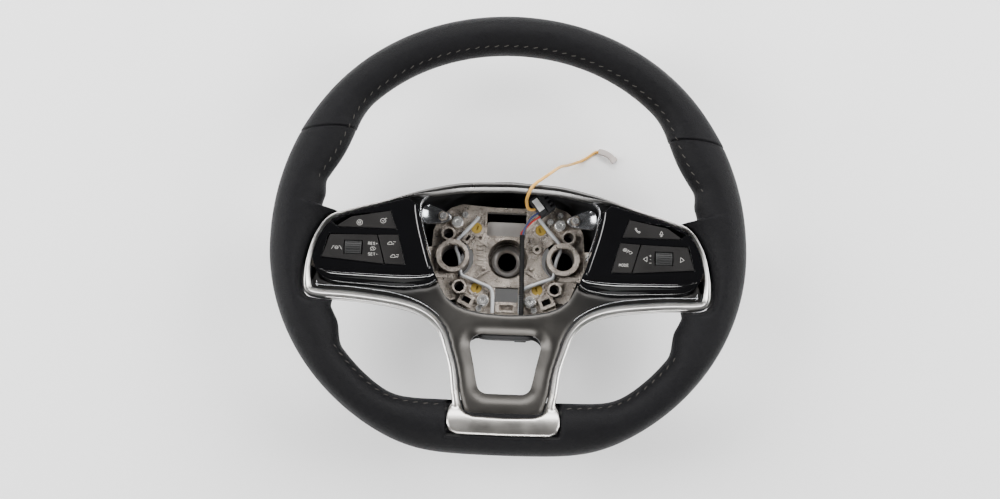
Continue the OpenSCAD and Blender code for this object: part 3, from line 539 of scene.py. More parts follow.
@dataclass(frozen=True)
class PaintedShadeZones(Finish):
    """A finish with painted shade in its colour, set by place: from the middle of the wheel outwards.

    Attributes:
        outer: colour past the far end of the change.
        near: distance from the wheel's middle line, in metres, where the change starts.
        far: distance where it ends.
        floor_y: place in metres below which the zone has no effect, or a very low number.
        streak: strength of the fine vertical brushing.
    """

    outer: Colour = (0.1, 0.1, 0.1)
    near: float = 0.03
    far: float = 0.08
    floor_y: float = -9.0
    streak: float = 0.0

    def paint(self, tree: bpy.types.NodeTree, nodes: Nodes, shader: bpy.types.Node) -> None:
        """Colour from the zones of painted shade, varied by clouds and by brushing."""
        place = nodes.add("ShaderNodeTexCoord").outputs["Object"]
        parts = nodes.add("ShaderNodeSeparateXYZ", {0: place}).outputs
        off = nodes.add("ShaderNodeMath", {0: parts["X"]}, operation="ABSOLUTE").outputs[0]
        zone = nodes.add(
            "ShaderNodeMapRange",
            {"Value": off, "From Min": self.near, "From Max": self.far},
            interpolation_type="SMOOTHSTEP",
        ).outputs["Result"]
        above = nodes.span(parts["Y"], self.floor_y, self.floor_y + 0.014, 1.0, 0.0)
        share = nodes.add("ShaderNodeMath", {0: zone, 1: above}, operation="MAXIMUM").outputs[0]
        mottle = nodes.add("ShaderNodeGroup", node_tree=shared("mottle", mottle_group))
        mottle.inputs["Large"].default_value = 40.0
        mottle.inputs["Small"].default_value = 2600.0
        brush = nodes.add("ShaderNodeGroup", node_tree=shared("brushing", brushed_group))
        brush.inputs["Across"].default_value = (2200.0, 30.0, 30.0)
        base = nodes.mix(share, rgba(self.colour), rgba(self.outer))
        dark = nodes.mix(share, rgba(tuple(c * (1 - self.drift) for c in self.colour)), rgba(self.outer))
        tree.links.new(nodes.mix(mottle.outputs["Cloud"], dark, base), shader.inputs["Base Color"])
        rough = nodes.span(mottle.outputs["Cloud"], 0.0, 1.0, self.roughness * 0.9, self.roughness * 1.1)
        tree.links.new(rough, shader.inputs["Roughness"])
        fine = nodes.bump(mottle.outputs["Speckle"], 0.2, 0.00001)
        normal = nodes.bump(brush.outputs["Streak"], self.streak, 0.00002, fine)
        tree.links.new(normal, shader.inputs["Normal"])


@dataclass(frozen=True)
class Cast(Finish):
    """Die-cast metal: pitted and cloudy, with painted shade darkening its low hollows."""

    stain: Colour = (0.13, 0.11, 0.095)
    bright: Colour = (0.82, 0.78, 0.73)

    def paint(self, tree: bpy.types.NodeTree, nodes: Nodes, shader: bpy.types.Node) -> None:
        """Clouds, flow marks, stains and painted shade low down for the colour, lumps and pits for the normal.
        """
        mottle = nodes.add("ShaderNodeGroup", node_tree=shared("mottle", mottle_group))
        mottle.inputs["Large"].default_value = 95.0
        mottle.inputs["Small"].default_value = 1100.0
        low, high = self.tones()
        base = nodes.mix(mottle.outputs["Cloud"], rgba(low), rgba(high))
        place = nodes.add("ShaderNodeTexCoord").outputs["Object"]
        patch = nodes.add(
            "ShaderNodeTexNoise", {"Vector": place, "Scale": 190.0, "Detail": 8.0, "Roughness": 0.75}
        )
        flow = nodes.add(
            "ShaderNodeTexNoise", {"Vector": place, "Scale": 420.0, "Detail": 5.0, "Distortion": 1.2}
        )
        stained = nodes.mix(nodes.span(patch.outputs["Fac"], 0.5, 0.66, 0.0, 0.75), base, rgba(self.stain))
        shiny = nodes.mix(nodes.span(flow.outputs["Fac"], 0.6, 0.72, 0.0, 0.6), stained, rgba(self.bright))
        parts = nodes.add("ShaderNodeSeparateXYZ", {0: place}).outputs
        # painted shade: below the plate's top the colour is darkened towards near-black, more the lower it lies
        painted_hollow_shade = rgba(tuple(c * 0.35 for c in self.stain))
        deep = nodes.mix(nodes.span(parts["Z"], 0.037, 0.0474, 0.7, 0.0), shiny, painted_hollow_shade)
        tree.links.new(deep, shader.inputs["Base Color"])
        rough = nodes.span(patch.outputs["Fac"], 0.3, 0.7, self.roughness - 0.16, self.roughness + 0.14)
        tree.links.new(rough, shader.inputs["Roughness"])
        lumps = nodes.bump(patch.outputs["Fac"], 0.7, 0.0012)
        tree.links.new(nodes.bump(mottle.outputs["Speckle"], 0.5, self.grain, lumps), shader.inputs["Normal"])


@dataclass(frozen=True)
class Finishes:
    """All the finishes of the wheel."""

    leather: Finish = Leather(
        "rim leather", (0.0048, 0.0047, 0.0056), 0.5, drift=0.2, grain=0.00022, grain_scale=820.0, shine=0.13
    )
    thread: Finish = Finish("stitching thread", (0.05, 0.046, 0.04), 0.8)
    cast: Finish = Cast("die-cast hub", (0.40, 0.352, 0.305), 0.35, metallic=0.8, drift=0.42, grain=0.00026)
    plain_cast: Finish = Finish("smooth cast floor", (0.40, 0.38, 0.36), 0.5, metallic=0.6, grain=0.00005)
    steel: Finish = Finish("turned steel", (0.46, 0.44, 0.42), 0.34, metallic=0.9, grain=0.00003)
    foam: Finish = Finish("moulded foam", (0.02, 0.02, 0.02), 0.9, grain=0.0001)
    satin: Finish = Finish("satin silver", (0.64, 0.615, 0.58), 0.32, metallic=1.0, drift=0.04)
    # painted shade: the strip's top span across the middle is painted dark, standing in for the dark reflection
    # of the space above; below it the strip keeps its silver
    arch: Finish = PaintedShadeZones(
        "satin silver strip", (0.13, 0.127, 0.124), 0.3, metallic=1.0, drift=0.1, outer=(0.74, 0.725, 0.70),
        near=0.07, far=0.105, floor_y=0.022,
    )  # fmt: skip
    # painted shade: the bezel's colour is painted darker from 18 mm to 80 mm out from the middle, standing in
    # for shade on its wings beside the pods
    gunmetal: Finish = PaintedShadeZones(
        "brushed gunmetal", (0.086, 0.081, 0.075), 0.38, metallic=0.85,
        drift=0.22, outer=(0.02, 0.0195, 0.019),
        near=0.018, far=0.08, streak=0.3,
    )  # fmt: skip
    gloss: Finish = Finish("gloss black", (0.004, 0.004, 0.0045), 0.07, coat=0.5, drift=0.05)
    keys: Finish = Finish(
        "key plastic", (0.010, 0.0093, 0.009), 0.5, grain=0.00003, grain_scale=2600.0, shine=0.2
    )
    marks: Finish = Finish("key marks", (0.46, 0.45, 0.43), 0.6, drift=0.03)
    grained: Finish = Finish(
        "grained black plastic", (0.018, 0.018, 0.019), 0.62, grain=0.00012, grain_scale=1500.0, shine=0.3
    )
    roller: Finish = Finish("roller rubber", (0.007, 0.007, 0.007), 0.55, grain=0.00004)
    amber: Finish = Finish("amber plastic", (0.36, 0.245, 0.045), 0.36, drift=0.16)
    zinc: Finish = Finish("zinc plate", (0.74, 0.735, 0.72), 0.26, metallic=0.75, drift=0.12, grain=0.00008)
    chrome: Finish = Finish("bright plated plastic", (0.5, 0.51, 0.53), 0.2, metallic=0.9, drift=0.35)
    wire: Finish = Finish("spring wire", (0.55, 0.565, 0.58), 0.42, metallic=0.35, drift=0.08)
    sleeve: Finish = Finish("loom sleeve", (0.008, 0.008, 0.008), 0.6, grain=0.00005, shine=0.25)
    red: Finish = Finish("red insulation", (0.55, 0.045, 0.04), 0.4)
    blue: Finish = Finish("blue insulation", (0.03, 0.045, 0.13), 0.4)
    orange: Finish = Finish("orange insulation", (0.83, 0.45, 0.09), 0.42)
    label: Finish = Finish("paper label", (0.62, 0.63, 0.62), 0.6, drift=0.05)
    pale: Finish = Finish("pale moulded plastic", (0.56, 0.5, 0.47), 0.5, drift=0.1)
    silicone: Finish = Finish("silicone mat", (0.012, 0.012, 0.012), 0.7, shine=0.2)
    board: Finish = Finish("circuit board", (0.02, 0.13, 0.05), 0.4)
    floor: Finish = Finish("pale floor", (0.985, 0.985, 0.985), 0.9, drift=0.002, glow=0.14)


FINISH = Finishes()


def dress(obj: bpy.types.Object, finish: Finish, body: str = ROOT) -> bpy.types.Object:
    """Gives a piece its finish and its CAD body.

    Args:
        obj: the piece.
        finish: its finish.
        body: the CAD body it rides on.

    Returns:
        The same object.
    """
    obj.data.materials.clear()
    obj.data.materials.append(finish.build())
    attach(obj, body)
    log.info("%s: %d faces", obj.name, len(obj.data.polygons))
    return obj


def refine(
    node: str, finish: Finish, bevel: float = 0.3 * MM, segments: int = 2,
    crease: float = 32.0, body: str = ROOT
) -> bpy.types.Object:
    """A dressed copy of a CAD node: merged, its flats joined, its edges rounded, then shown for it.

    Args:
        node: the CAD node.
        finish: its finish.
        bevel: width of the rounding in metres, or 0 for none.
        segments: steps of the rounding.
        crease: edges steeper than this many degrees are rounded and stay crisp.
        body: the CAD body it rides on.

    Returns:
        The new object.
    """
    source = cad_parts[node]
    mesh = source.data.copy()
    mesh.name = node + "_shown"
    bm = bmesh.new()
    bm.from_mesh(mesh)
    bmesh.ops.remove_doubles(bm, verts=bm.verts, dist=2e-6)
    bmesh.ops.dissolve_limit(
        bm, angle_limit=math.radians(0.6), verts=bm.verts, edges=bm.edges, delimit={"NORMAL"}
    )
    bm.to_mesh(mesh)
    bm.free()
    mesh.shade_smooth()
    obj = bpy.data.objects.new(node + "_shown", mesh)
    bpy.context.scene.collection.objects.link(obj)
    sharpen(obj, crease)
    if bevel > 0:
        rounding = obj.modifiers.new("rounding", "BEVEL")
        rounding.width = bevel
        rounding.segments = segments
        rounding.limit_method = "ANGLE"
        rounding.angle_limit = math.radians(crease)
        rounding.harden_normals = True
        rounding.use_clamp_overlap = True
    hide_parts(node)
    return dress(obj, finish, body)


# Rim


@dataclass
class SpokeOutline:
    """Outer edge of the trim, right half, from twelve o'clock clockwise to the foot.

    Each control point is x, y, crest height and strip width, in millimetres.
    """

    corner_x: float = 156.6
    bar_y: float = -141.8
    crest: float = 93.0
    fullness: float = 1.0
    widening: float = 0.1

    def control(self) -> np.ndarray:
        """Control points of the right half, the upper outer corner moved out by its fullness."""
        c, b, k = self.corner_x, self.bar_y, self.crest
        points = np.array([
            [0, 54, k, 7.5], [36, 52.3, k, 7.5], [62, 46.9, k + 1, 6.5], [80, 41.5, k + 2, 3.4],
            [100, 35.2, k + 2.5, 3], [c - 38.6, 28.8, k + 3, 3], [c - 21.6, 19, k + 3.5, 3.2],
            [c - 11.6, 6.5, k + 4, 3.2], [c - 4.4, -11, k + 4, 3.6], [c, -28, k + 4, 5.6],
            [c - 2, -38.2, k + 3.5, 6.4], [c - 10.6, -42, k + 3, 6.8], [c - 36.6, -43.3, k + 2, 7],
            [84, -47.4, k + 1, 7], [64, -53.8, k + 0.5, 6.5], [52.5, -64.5, k + 0.5, 6],
            [46.3, -80, k + 2, 5.5], [41.3, -96, k + 4, 5.5], [36.8, b + 29.8, k + 6.5, 5.5],
            [33, b + 16.8, k + 7.5, 5.5],
        ])  # fmt: skip
        points[5:9, :2] += self.fullness * np.array([[0.8, 0.9], [4.0, 3.0], [4.4, 1.0], [2.6, 0.4]])
        return points

    def spread(self, y: np.ndarray) -> np.ndarray:
        """How much wider the legs stand at a place along y than the CAD's outline."""
        return 1.0 + self.widening * smoothstep((-88.0 - y) / 34.0)

    def line(self, steps: int) -> np.ndarray:
        """Samples of the right half, the legs drawn outwards by their spread."""
        line = spline(self.control(), steps)
        line[:, 0] *= self.spread(line[:, 1])
        return line

    def inward(self, line: np.ndarray) -> np.ndarray:
        """Unit normals that point into the spokes: the run of the line turned clockwise."""
        d = np.gradient(line[:, :2], axis=0)
        d[0] = [1.0, 0.0] if abs(line[0, 0]) < 1e-6 else d[0]
        d /= np.linalg.norm(d, axis=1, keepdims=True)
        return np.stack([d[:, 1], -d[:, 0]], axis=1)


@dataclass
class Rim:
    """Leather rim: outline in polar form about its centre, oval sections, webs at the spokes.

    The outside is a circle above three o'clock, with swellings of shoulder * sin(2a)^2, and a
    soft minimum of an oval and the flat's line below it. The inside is the outside less the
    grip, less the thumb rests, less the webs, and never nearer the hub than the trim.
    """

    outline: SpokeOutline
    radius: float = 185.0
    flat: float = 161.0
    grip_w: float = 31.0
    grip_h: float = 35.0
    thumb_d: float = 7.5
    shoulder: float = 2.2
    bottom_w: float = 41.5
    low_r: float = 169.0
    low_in_r: float = 141.0
    seat_gap: float = 1.0
    centre_y: float = 4.0
    level: float = 88.0
    seam: float = 31.0
    slant: float = 4.4
    seam_depth: float = 1.15
    seam_half: float = 0.26
    fold: float = 0.35
    rings: int = 560
    sides: int = 56
    stitch_tilt: float = 40.0
    skin: float = 1.5

    def soft_min(self, p: np.ndarray, q: np.ndarray) -> np.ndarray:
        """Smaller of two lengths, with the corner between them rounded by a 40th power."""
        return p * (1.0 + (p / q) ** 40) ** (-1.0 / 40.0)

    def oval(self, a: np.ndarray, rx: float, ry: float) -> np.ndarray:
        """Radius of an ellipse at angle a."""
        return 1.0 / np.sqrt((np.cos(a) / rx) ** 2 + (np.sin(a) / ry) ** 2)

    def seat(self, a: np.ndarray) -> np.ndarray:
        """Distance from the rim's centre to the trim's outer edge, along each angle."""
        line = self.outline.line(8)[:, :2] - [0.0, self.centre_y]
        p, q = line[:-1], line[1:]
        d = np.stack([np.cos(a), np.sin(a)], axis=1)
        cross = lambda u, v: u[..., 0] * v[..., 1] - u[..., 1] * v[..., 0]
        den = cross((q - p)[None], d[:, None])
        s = -cross(p[None], d[:, None]) / np.where(np.abs(den) < 1e-9, 1e-9, den)
        r = (p[None] * d[:, None]).sum(-1) + s * ((q - p)[None] * d[:, None]).sum(-1)
        return np.where((s >= 0) & (s <= 1), r, 0.0).max(axis=1)

    def edges(self, angle: np.ndarray) -> tuple[np.ndarray, np.ndarray, np.ndarray]:
        """Outer radius, inner radius and width of the web inside it at each angle, in millimetres.

        Args:
            angle: ring angles in radians.

        Returns:
            The three lengths, one row each.
        """
        a = np.arctan2(np.sin(angle), np.abs(np.cos(angle)))
        deg = np.degrees(a)
        down = np.maximum(0.01, -np.sin(a))
        top = self.radius + self.shoulder * np.sin(2 * a) ** 2 + np.sin(a)
        out = np.where(a >= 0, top, self.soft_min(self.oval(a, self.radius, self.low_r), self.flat / down))
        thumb = self.thumb_d * np.cos(np.radians(90 * np.minimum(1.0, np.abs(deg - 28) / 18))) ** 2
        low_oval = self.oval(a, self.radius - self.grip_w, self.low_in_r)
        low = self.soft_min(low_oval, (self.flat - self.bottom_w) / down)
        inner = np.where(a >= 0, out - self.grip_w - thumb, low)
        low_web = 7.6 * smoothstep((deg + 34) / 9) + 8 * smoothstep((deg + 21) / 4)
        high_web = 5.5 * smoothstep((19 - deg) / 6) + 21 * smoothstep((10.2 - deg) / 1.3)
        web = np.where(deg > -5, high_web, low_web)
        near = (deg > -34) & (deg < 20)
        reach = np.where(near, np.maximum(inner - web, self.seat(a) + self.seat_gap), inner)
        return out, inner, inner - reach

    def stations(self) -> np.ndarray:
        """Ring angles: even round the rim, with close sets at the seams and the webs' upper corners."""
        even_set = np.linspace(0, 2 * np.pi, self.rings, endpoint=False)
        near = np.radians(self.seam + np.linspace(-1.6, 1.6, 33))
        corner = np.radians(np.linspace(8.6, 14.6, 41))
        near = np.concatenate([near, corner])
        both = np.concatenate([near, np.pi - near])
        far = np.min(np.abs(even_set[:, None] - both[None]), axis=1) > math.radians(0.12)
        return np.sort(np.concatenate([even_set[far], both]))

    def surface(self, inset: float = 0.0) -> np.ndarray:
        """Grid of a surface of the rim, in millimetres: rings by section points.

        Without an inset it is the leather's own; the foam lies inside it by the inset.

        A ring's angle leans by slant * cos s near the seams, so that the seam crosses the grip
        level with the spokes. The skin sinks at the seam by a bell curve of the angle from it,
        and the piece above it stands proud by its own thickness, which fades out in 4 degrees.
        The web at the spokes flares out from the inner side by web * max(0, -cos s)^1.3.
        """
        base = self.stations()[:, None]
        s = np.linspace(0, 2 * np.pi, self.sides, endpoint=False)[None, :]
        tilt = np.degrees(np.arctan2(np.sin(base), np.abs(np.cos(base))))
        lean = np.radians(self.slant) * np.exp(-(((tilt - self.seam) / 11.0) ** 2)) * np.cos(s)
        angle = base - lean * np.sign(np.cos(base))
        table = np.linspace(0, 2 * np.pi, 4001)
        out, inner, web = (np.interp(angle, table, e, period=2 * np.pi) for e in self.edges(table))
        c, w = (out + inner) / 2, (out - inner) / 2 - inset
        off = tilt - self.seam
        sink = self.seam_depth * np.exp(-((off / self.seam_half) ** 2))
        sink = sink - self.fold * np.where(off > 0, np.exp(-((off / 2.4) ** 2)), 0.0)
        r = c + (w - sink) * np.cos(s) - web * np.maximum(0.0, -np.cos(s)) ** 1.3
        z = self.level + (self.grip_h / 2 - inset - sink) * np.sin(s)
        x, y = r * np.cos(angle), self.centre_y + r * np.sin(angle)
        under = (np.abs(x) < 43.0) & (y > -142.4) & (y < -100)
        z = np.where(under & (z > 80), np.minimum(z, self.under_bar(y) - inset), z)
        return np.stack([x, y, z], axis=-1)

    def under_bar(self, y: np.ndarray) -> np.ndarray:
        """Height that the leather keeps under the bottom bar: 5 mm inside the bar's own arc."""
        return arc_height(y, 19.0)

    def foam(self) -> bpy.types.Object:
        """The foam under the leather."""
        obj = grid_object("foam_core", self.surface(self.skin)[:, ::2] * MM, wrap_rows=True)
        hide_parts("rim_foam")
        return dress(obj, FINISH.foam)

    def build(self) -> bpy.types.Object:
        """The leather as one closed skin."""
        obj = grid_object("leather_rim", self.surface() * MM, wrap_rows=True)
        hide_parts("leather_upper", "leather_lower")
        return dress(obj, FINISH.leather)

    def seam_path(self, count: int, from_edge: float) -> np.ndarray:
        """Line of the sewn seam on the inner front side, at a share of the section's half width.

        Args:
            count: points of the line.
            from_edge: angle up from the inner edge, in radians.

        Returns:
            The points in millimetres.
        """
        angle = np.linspace(0, 2 * np.pi, count, endpoint=False)
        out, inner, _ = self.edges(angle)
        c, w = (out + inner) / 2, (out - inner) / 2
        r = c - w * np.cos(from_edge)
        z = np.full_like(r, self.level + self.grip_h / 2 * np.sin(from_edge))
        return np.stack([r * np.cos(angle), self.centre_y + r * np.sin(angle), z], axis=1)

    def stitches(self) -> bpy.types.Object:
        """Slanted stitches along the inner front side, each a small rounded bar of 24 faces."""
        fine = self.seam_path(4000, math.radians(self.stitch_tilt))
        step = np.r_[0, np.cumsum(np.linalg.norm(np.diff(fine, axis=0), axis=1))]
        at = np.arange(3.0, step[-1] - 3.0, 7.7)
        path = np.stack([np.interp(at, step, fine[:, k]) for k in range(3)], axis=1)
        ahead = np.stack([np.interp(at + 0.5, step, fine[:, k]) for k in range(3)], axis=1)
        t = ahead - path
        t /= np.linalg.norm(t, axis=1, keepdims=True)
        radial = path - np.array([0, self.centre_y, 0])
        radial[:, 2] = 0
        radial /= np.linalg.norm(radial, axis=1, keepdims=True)
        tilt = math.radians(self.stitch_tilt)
        normal = -radial * math.cos(tilt) + np.array([0, 0, 1.0]) * math.sin(tilt)
        side = np.cross(normal, t)
        along = t * 0.94 + side * 0.34
        across = np.cross(normal, along)
        keep = self.clear_of_spokes(path)
        path, along, across, normal = path[keep], along[keep], across[keep], normal[keep]
        u = np.array([-2.0, -1.7, -0.8, 0.8, 1.7, 2.0])
        lift = np.array([-0.35, 0.0, 0.18, 0.18, 0.0, -0.35])
        r = np.array([0.12, 0.33, 0.42, 0.42, 0.33, 0.12])
        a = np.linspace(0, 2 * np.pi, 6, endpoint=False)
        tall = lift[:, None] + 0.8 * r[:, None] * np.sin(a)
        local = np.stack([np.repeat(u[:, None], 6, 1), r[:, None] * np.cos(a), tall], axis=-1).reshape(-1, 3)
        pts = path[:, None] + local[None, :, :1] * along[:, None] + local[None, :, 1:2] * across[:, None]
        pts = pts + local[None, :, 2:] * normal[:, None]
        one = grid_faces(6, 6, False, True)
        faces = (one[None] + (36 * np.arange(len(path)))[:, None, None]).reshape(-1, 4).tolist()
        ends = np.arange(6)
        faces += [(36 * k + ends[::-1]).tolist() for k in range(len(path))]
        faces += [(36 * k + 30 + ends).tolist() for k in range(len(path))]
        obj = mesh_object("rim_stitches", pts.reshape(-1, 3) * MM, faces)
        face_out(obj)
        return dress(obj, FINISH.thread)

    def clear_of_spokes(self, path: np.ndarray) -> np.ndarray:
        """Which places along the seam are not behind a spoke."""
        deg = np.degrees(np.arctan2(path[:, 1] - self.centre_y, np.abs(path[:, 0])))
        return ((deg > 16) | (deg < -26)) & ~((np.abs(path[:, 0]) < 46) & (path[:, 1] < 0))


# Trim


@dataclass
class TrimLoop:
    """Satin strip along the spokes' outline, and the bar across the bottom."""

    outline: SpokeOutline
    depth: float = 9.0
    bar_half: float = 42.4
    bar_round: float = 24.0
    relax: int = 18
    foot_y: float = -106.0

    def section(self, width: np.ndarray) -> np.ndarray:
        """Strip section as inset and height, a smooth curve through eight places.

        Args:
            width: strip width at each place along the outline.

        Returns:
            Inset and height of each section point.
        """
        unit = np.array(
            [[0, -self.depth], [0, -1.6], [0.14, -0.25], [0.45, 0.0], [0.64, -0.7], [0.99, -3.1], [1.0, -5.4],
             [0.5, -self.depth]]
        )  # fmt: skip
        top = spline(unit[1:7], 5)
        shape = np.vstack([unit[:1], top, unit[7:]])
        heights = np.broadcast_to(shape[None, :, 1], (len(width), len(shape)))
        return np.stack([shape[None, :, 0] * width[:, None], heights], -1)

    def carry(self, line: np.ndarray) -> np.ndarray:
        """Grid of the section's points along a line of x, y, crest and width."""
        n = self.outline.inward(line)
        sec = self.section(line[:, 3])
        return np.stack(
            [line[:, None, 0] + sec[..., 0] * n[:, None, 0], line[:, None, 1] + sec[..., 0] * n[:, None, 1],
             line[:, None, 2] + sec[..., 1]], axis=-1
        )  # fmt: skip

    def strip(self) -> bpy.types.Object:
        """The strip: its section carried down the right side and up the left."""
        line = self.outline.line(10)
        right = self.carry(line[line[:, 1] > self.foot_y - 4.0])
        left = right[1:] * np.array([-1.0, 1.0, 1.0])
        obj = grid_object("trim_strip", np.vstack([right[::-1], left]) * MM)
        sharpen(obj, 50)
        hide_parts("trim_frame")
        return dress(obj, FINISH.arch)

    def bar(self) -> bpy.types.Object:
        """The bottom bar: across its width a share v runs from the outer to the inner edge.

        Height is the bar's arc, 82.2 + sqrt(24^2 - (y + 137)^2), less a small rounding near
        every edge, and the under side lies 4 mm below the arc.
        """
        b, h = self.outline.bar_y, self.bar_half
        x_out = np.array([0, h - 7.4, h - 2.4, h])
        y_out = np.array([b, b + 0.5, b + 3.0, b + 7.8])
        x_in = np.array([0, 22.5, 28.6, 31.6, 33.0, 35.8, h - 4.4, h - 1.6, h])
        y_in = b + np.array([13.2, 14.0, 16.2, 19.4, 22.0, 26.0, 24.6, 21.0, 15.0])
        x = h * np.sin(np.linspace(-np.pi / 2, np.pi / 2, 181))
        lo, hi = np.interp(np.abs(x), x_out, y_out), np.interp(np.abs(x), x_in, y_in)
        v = (1 - np.cos(np.linspace(0, np.pi, 25))) / 2
        y = lo[:, None] + (hi - lo)[:, None] * v
        edge = np.minimum(np.minimum(y - lo[:, None], hi[:, None] - y), (h - np.abs(x))[:, None])
        near = np.clip(1 - edge / 0.9, 0, 1)
        top = arc_height(y, self.bar_round) - 0.9 * (1 - np.sqrt(1 - near**2))
        low = arc_height(y, self.bar_round - 4.0)
        low = np.minimum(low, top - 0.6)
        xs = np.repeat(x[:, None], len(v), 1)
        ring = np.concatenate([np.stack([xs, y, top], -1), np.stack([xs, y, low], -1)[:, ::-1]], axis=1)
        obj = grid_object("trim_bar", ring * MM)
        self.blend(obj)
        return dress(obj, FINISH.satin)

    def horn(self, side: Side) -> bpy.types.Object:
        """The strip's foot: the same section, carried on into the bar's end as it widens."""
        line = self.outline.line(10)
        last = line[line[:, 1] < self.foot_y]
        last = last[last[:, 1] > -119.0] + [0.25, 0.0, 0.22, 0.5]
        end = [[38.3, -124.0, 101.2, 7.4], [39.3, -128.8, 100.2, 9.4], [40.4, -133.6, 98.2, 11.0]]
        foot = np.vstack([last[::3], end])
        grid = self.carry(spline(foot, 6)) * np.array([side.value, 1.0, 1.0])
        return grid_object(f"horn_{side.name.lower()}", grid * MM)

    def blend(self, bar: bpy.types.Object) -> None:
        """Joins the feet to the bar, remeshes the lot finely and relaxes it into one soft form."""
        feet = [self.horn(side) for side in Side]
        bpy.ops.object.select_all(action="DESELECT")
        for obj in (*feet, bar):
            obj.select_set(True)
        bpy.context.view_layer.objects.active = bar
        bpy.ops.object.join()
        voxel = bar.modifiers.new("voxel", "REMESH")
        voxel.mode = "VOXEL"
        voxel.voxel_size = 0.55 * MM
        bpy.ops.object.modifier_apply(modifier=voxel.name)
        bm = bmesh.new()
        bm.from_mesh(bar.data)
        for _ in range(self.relax):
            bmesh.ops.smooth_vert(
                bm, verts=bm.verts, factor=0.5, use_axis_x=True, use_axis_y=True, use_axis_z=True
            )
        bm.to_mesh(bar.data)
        bm.free()
        bar.data.shade_smooth()


# Switches


STROKES = {
    "M": [[[0, 0], [0, 1], [0.5, 0.35], [1, 1], [1, 0]]],
    "O": [[[0.25, 0], [0, 0.25], [0, 0.75], [0.25, 1], [0.75, 1], [1, 0.75],
           [1, 0.25], [0.75, 0], [0.25, 0]]],
    "D": [[[0, 0], [0, 1], [0.6, 1], [1, 0.7], [1, 0.3], [0.6, 0], [0, 0]]],
    "E": [[[1, 0], [0, 0], [0, 1], [1, 1]], [[0, 0.52], [0.8, 0.52]]],
    "R": [[[0, 0], [0, 1], [0.75, 1], [1, 0.8], [0.75, 0.5], [0, 0.5]], [[0.5, 0.5], [1, 0]]],
    "S": [[[1, 0.85], [0.7, 1], [0.2, 1], [0, 0.75], [0.2, 0.55], [0.8, 0.45], [1, 0.2], [0.8, 0], [0, 0.1]]],
    "T": [[[0, 1], [1, 1]], [[0.5, 1], [0.5, 0]]],
    "+": [[[0.1, 0.5], [0.9, 0.5]], [[0.5, 0.2], [0.5, 0.8]]],
    "-": [[[0.1, 0.5], [0.9, 0.5]]],
}


